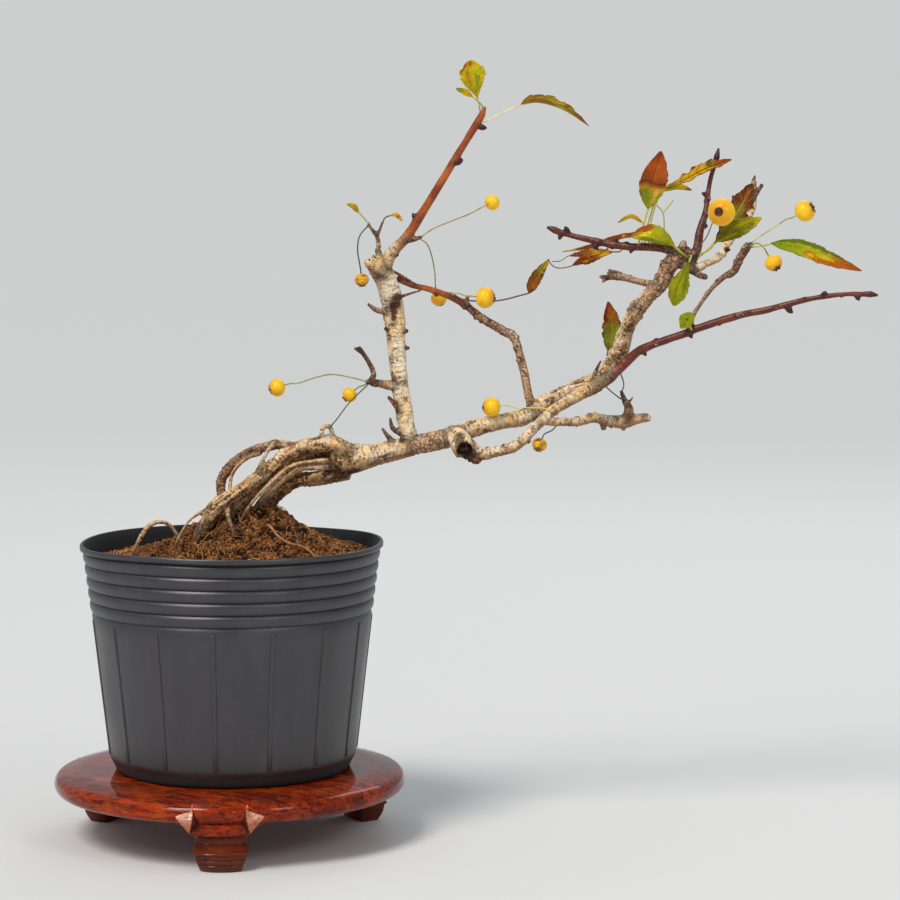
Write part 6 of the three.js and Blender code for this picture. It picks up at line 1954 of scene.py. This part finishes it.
def make_leaf(name, spec, seed):
    """Blade and stalk as one piece with two finishes."""
    look = {**PLAIN_LEAF, **LEAF_LOOKS[name]}
    spec = {**PLAIN_SHAPE, "tip_face": spec["face"], **spec}
    shape = {**spec, **{trait: look[trait] for trait in ("ragged", "crisp")}, "depth": look["teeth"]}
    blade = leaf_blade("blade", shape, seed)
    dress(blade, leaf_finish(name, look, spec["teeth"]))
    stalk = stalk_of("stalk", spec["stalk"], STALK_RADIUS * spec["stout"])
    dress(stalk, stalk_finish(name, look["stalk"]))
    whole = join([blade, stalk], "leafblade_" + name.removeprefix("leaf_"))
    smooth_shaded(whole, LEAF_SHARP)
    place(whole, name)


for seed, (name, spec) in enumerate(LEAVES.items()):
    make_leaf(name, spec, seed)

# %% [markdown]
# ## The fruits
#
# A crabapple is a little pome: round, with a dimple where the stalk enters and a shallow basin at the other
# end that holds the dried flower, five curled sepals round a tuft of stamens. The body is a ball whose rings
# are re-spaced to that profile. Each fruit hangs on the thin stalk that its flower stood on.

# %% Fruit places
FRUITS = {
    "fruit_apex": dict(
        centre=(129, -16, 316), size=7.4, axis=(0.7, 0.6, 0.3),
        stalk=[(94, 0.5, 298.8), (100, -3, 303), (108, -8, 306.5), (118, -13, 310.5)]),
    "fruit_behind_branch": dict(
        centre=(103, 22, 268), size=8.2, axis=(0.3, 0.1, -1),
        stalk=[(93, 0.8, 298.5), (97, 8, 295.5), (99.5, 14, 289), (101, 19, 280)]),
    "fruit_middle_branch": dict(
        centre=(126, 5, 269), size=10.4, axis=(1, -0.1, -0.1),
        stalk=[(109, 12, 270), (112.5, 9, 271), (117, 7, 269.5)]),
    "fruit_crown_left": dict(
        centre=(65, -2, 278), size=6.9, axis=(0.1, 0, -1),
        stalk=[(68.5, 4, 305), (64, 1, 299.5), (63, -1.5, 293), (64, -2, 286)]),
    "fruit_far_left": dict(
        centre=(24, -18, 226), size=8.6, axis=(-1, -0.2, -0.3),
        stalk=[(68.5, -7, 228), (57, -10, 231), (50, -12, 232), (42, -15, 230.5), (34, -17, 228)]),
    "fruit_left_twig": dict(
        centre=(59, -5, 221.5), size=7.4, axis=(-0.8, -0.2, -0.7),
        stalk=[(69.5, -5, 228), (65.5, -5, 226)]),
    "fruit_on_trunk": dict(
        centre=(129, -5, 215.5), size=9.6, axis=(-1, -0.1, -0.1),
        stalk=[(157.5, -12.5, 213.5), (155.5, -15.8, 215.4), (148.8, -14, 215.7), (141, -10, 215.5)]),
    "fruit_under_branch": dict(
        centre=(153, 4, 196), size=7.4, axis=(-0.4, -0.1, -0.9), stalk=[(163, 8, 207), (159.5, 7, 203)]),
    "fruit_big": dict(
        centre=(240.4, -19, 311.4), size=13.2, axis=(-0.33, -0.93, 0.03),
        stalk=[(230.5, 1.5, 293), (235, -1, 299.5), (237.5, -5.5, 306.5), (240.5, -9.5, 310.8)]),
    "fruit_right_high": dict(
        centre=(280, -26, 312), size=10.2, axis=(0.75, -0.4, 0.42),
        stalk=[(252.5, -20, 294.5), (258, -21, 299), (266.5, -23, 304.8), (272, -24.5, 308.4)]),
    "fruit_right_low": dict(
        centre=(265, -27, 287), size=8.4, axis=(0.5, -0.6, -0.8),
        stalk=[(253, -20.5, 294), (257.5, -24, 296.5), (261, -25.5, 293.5)]),
}

# %% The shape of a pome
POME_SIDES = 40
POME_RINGS = 26
SEPALS = 5
STAMENS = 9
FRUIT_SHARP = 60
FRUIT_STALK_RADIUS = 0.34


def pome_profile(polar):
    """How far out and up the skin lies, for an angle from 0 at the stalk to pi at the eye; radius 1."""
    out = math.sin(polar) * (1 - 0.03 * math.cos(2 * polar))
    up = -math.cos(polar) * 0.95
    stalk_dimple = 0.13 * math.exp(-(polar / 0.3) ** 2)
    eye_basin = 0.16 * math.exp(-((math.pi - polar) / 0.3) ** 2)
    return out, up + stalk_dimple - eye_basin


def pome_body(size, seed):
    """A ball whose points are moved to the profile, slightly lumpy as a small apple is."""
    body = primitive("uv_sphere", segments=POME_SIDES, ring_count=POME_RINGS, radius=1)
    body.data.uv_layers[0].name = "skin"
    half = size / 2

    def rule(point):
        out, up = pome_profile(math.acos(max(-1.0, min(1.0, -point.z))))
        around = math.atan2(point.y, point.x)
        lobes = 1 + 0.012 * math.cos(5 * around) * max(0.0, point.z)
        lump = 1 + 0.02 * noise.noise(point * 1.4 + Vector((seed, 0, 0)))
        return Vector((math.cos(around) * out * lobes, math.sin(around) * out * lobes, up)) * half * lump

    reshape(body, rule)
    return body


def sepal(size, turn, curl, seed):
    """One dried sepal: a narrow pointed strip that leans out of the eye and curls."""
    strip = primitive("grid", x_subdivisions=7, y_subdivisions=4, size=2)
    half = size / 2

    def rule(point):
        t = (point.x + 1) / 2
        width = 0.16 * (1 - t) ** 0.6 + 0.012
        lean = 0.5 + curl * t
        out = 0.16 + 0.42 * t * math.sin(lean)
        up = 0.72 + 0.42 * t * math.cos(lean) + 0.05 * abs(point.y)
        wry = 0.06 * noise.noise(Vector((t * 3, turn, seed)))
        return Vector((out, point.y * width + wry, up)) * half

    reshape(strip, rule)
    apply_modifier(strip, "SOLIDIFY", thickness=0.045 * half, offset=0)
    strip.data.transform(Matrix.Rotation(turn, 4, "Z"))
    return strip


def stamen(half, i):
    """One dried stamen, the next in a spiral that widens from the middle of the eye."""
    angle = i * 2.4
    out = 0.10 + 0.012 * i
    hair = primitive(
        "cone",
        vertices=5,
        radius1=0.035 * half,
        radius2=0.02 * half,
        depth=0.3 * half,
        location=Vector((out * math.cos(angle), out * math.sin(angle), 0.86)) * half,
        rotation=(0.3 * math.sin(angle), 0.3 * math.cos(angle), 0),
    )
    settle(hair)
    return hair


def calyx(size, curl, seed):
    """Five sepals and a tuft of stamens in the eye."""
    sepals = [sepal(size, 2 * math.pi * (i + 0.1 * (i % 2)) / SEPALS, curl, seed + i) for i in range(SEPALS)]
    return join(sepals + [stamen(size / 2, i) for i in range(STAMENS)], "calyx")


# %% Fruit finishes
# skin is the colour of the shaded skin, blush its colour towards the eye, spoilt how much of it has gone
# brown, curl how far the sepals bend back, and stalk the stalk's two colours.
FRUIT_LOOKS = {
    "fruit_apex": dict(skin="F8BA08", blush="DE8A1C", spoilt=0.05, curl=1.2, stalk=("C4A470", "A08458")),
    "fruit_behind_branch": dict(
        skin="F0A80C", blush="C8760C", spoilt=0.3, curl=1.0, stalk=("A8A45C", "7E7A58")),
    "fruit_middle_branch": dict(
        skin="F6B008", blush="DC860C", spoilt=0.15, curl=1.2, stalk=("C0B040", "9A8A3A")),
    "fruit_crown_left": dict(
        skin="CC7E10", blush="7E3C10", spoilt=0.75, curl=0.6, stalk=("3E4650", "34383E")),
    "fruit_far_left": dict(
        skin="F6B208", blush="E0960C", spoilt=0.08, curl=1.0, stalk=("B0A862", "8E864C")),
    "fruit_left_twig": dict(
        skin="F2B008", blush="DE980C", spoilt=0.1, curl=0.4, stalk=("9A9440", "6E6A3C")),
    "fruit_on_trunk": dict(
        skin="F6B408", blush="D8840C", spoilt=0.15, curl=1.2, stalk=("E0DC48", "C8C040")),
    "fruit_under_branch": dict(
        skin="B87A12", blush="6E3E10", spoilt=0.75, curl=0.8, stalk=("56564C", "44443E")),
    "fruit_big": dict(skin="F8B808", blush="D07C0C", spoilt=0.1, curl=1.5, stalk=("A8A040", "7A6A34")),
    "fruit_right_high": dict(
        skin="FABE0C", blush="E49C10", spoilt=0.06, curl=0.9, stalk=("D0C268", "AC965A")),
    "fruit_right_low": dict(
        skin="F4AA0A", blush="D07C0C", spoilt=0.15, curl=0.8, stalk=("9A9440", "8A8044")),
}


def fruit_finish(name, look):
    """Golden waxy skin with fine brown pores, browner round the eye, rusty spots where it is going over."""

    def recipe():
        where = in_place()
        latitude = node("SeparateXYZ", {0: node("UVMap", uv_map="skin").outputs[0]}).outputs[1]
        cloud = speckle(where, 260)
        low = 0.74 - 0.3 * look["spoilt"]
        skin = layered(
            mixed(band(cloud, 0.35, 0.65), look["skin"], "FCC812"),
            (band(latitude, 0.6, 0.9, 0, 0.8), look["blush"]),
            (band(latitude, 0.02, 0.1, 0.6, 0), "A86A1C"),
            (band(speckle(where, 900, detail=4), 0.68, 0.74, 0, 0.5), "C07A1C"),
            (band(speckle(where, 420, detail=5, rough=0.6), low, low + 0.08, 0, 0.85), "7A3A14"),
            (band(latitude, 0.875, 0.9), "4E2A12"),
        )
        return {"Base Color": skin, "Normal": bumped(cloud, 0.2, 0.4)}

    gloss = dict(Roughness=0.34, Specular_IOR_Level=0.3, Coat_Weight=0.22, Coat_Roughness=0.12)
    return finish_from(name + "_skin", recipe, **gloss)


def dried_calyx():
    return {"Base Color": mixed(band(speckle(in_place(), 1200), 0.4, 0.6), "3A2212", "8E6638")}


DRIED_CALYX = finish_from("dried_calyx", dried_calyx, Roughness=0.8)


def make_fruit(name, spec, seed):
    """Body, calyx and stalk as one piece with three finishes."""
    look = FRUIT_LOOKS[name]
    size, axis = spec["size"], Vector(spec["axis"]).normalized()
    centre = Vector(spec["centre"])
    body = pome_body(size, seed)
    crown = calyx(size, look["curl"], seed)
    to_place = Matrix.Translation(spot(*centre)) @ axis.to_track_quat("Z", "Y").to_matrix().to_4x4()
    for part in (body, crown):
        part.data.transform(to_place @ Matrix.Scale(MM, 4))
    neck = centre - axis * 0.75 * size
    joint = centre - axis * 0.36 * size
    stalk = stalk_of("stalk", [*spec["stalk"], tuple(neck), tuple(joint)], FRUIT_STALK_RADIUS, foot=1.8)
    dress(body, fruit_finish(name, look))
    dress(crown, DRIED_CALYX)
    dress(stalk, stalk_finish(name, look["stalk"]))
    whole = join([body, crown, stalk], "crabapple_" + name.removeprefix("fruit_"))
    smooth_shaded(whole, FRUIT_SHARP)
    place(whole, name)


for seed, (name, spec) in enumerate(FRUITS.items()):
    make_fruit(name, spec, seed)

# %% [markdown]
# ## Triangles
#
# The last cell counts the triangles of every dressed piece that renders.

# %% Triangles in all
bpy.context.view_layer.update()
dressed = [piece for piece in bpy.context.scene.objects if piece.type == "MESH" and piece.get("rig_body")]
print("triangles in all:", sum(triangles(piece) for piece in dressed if not piece.hide_render))
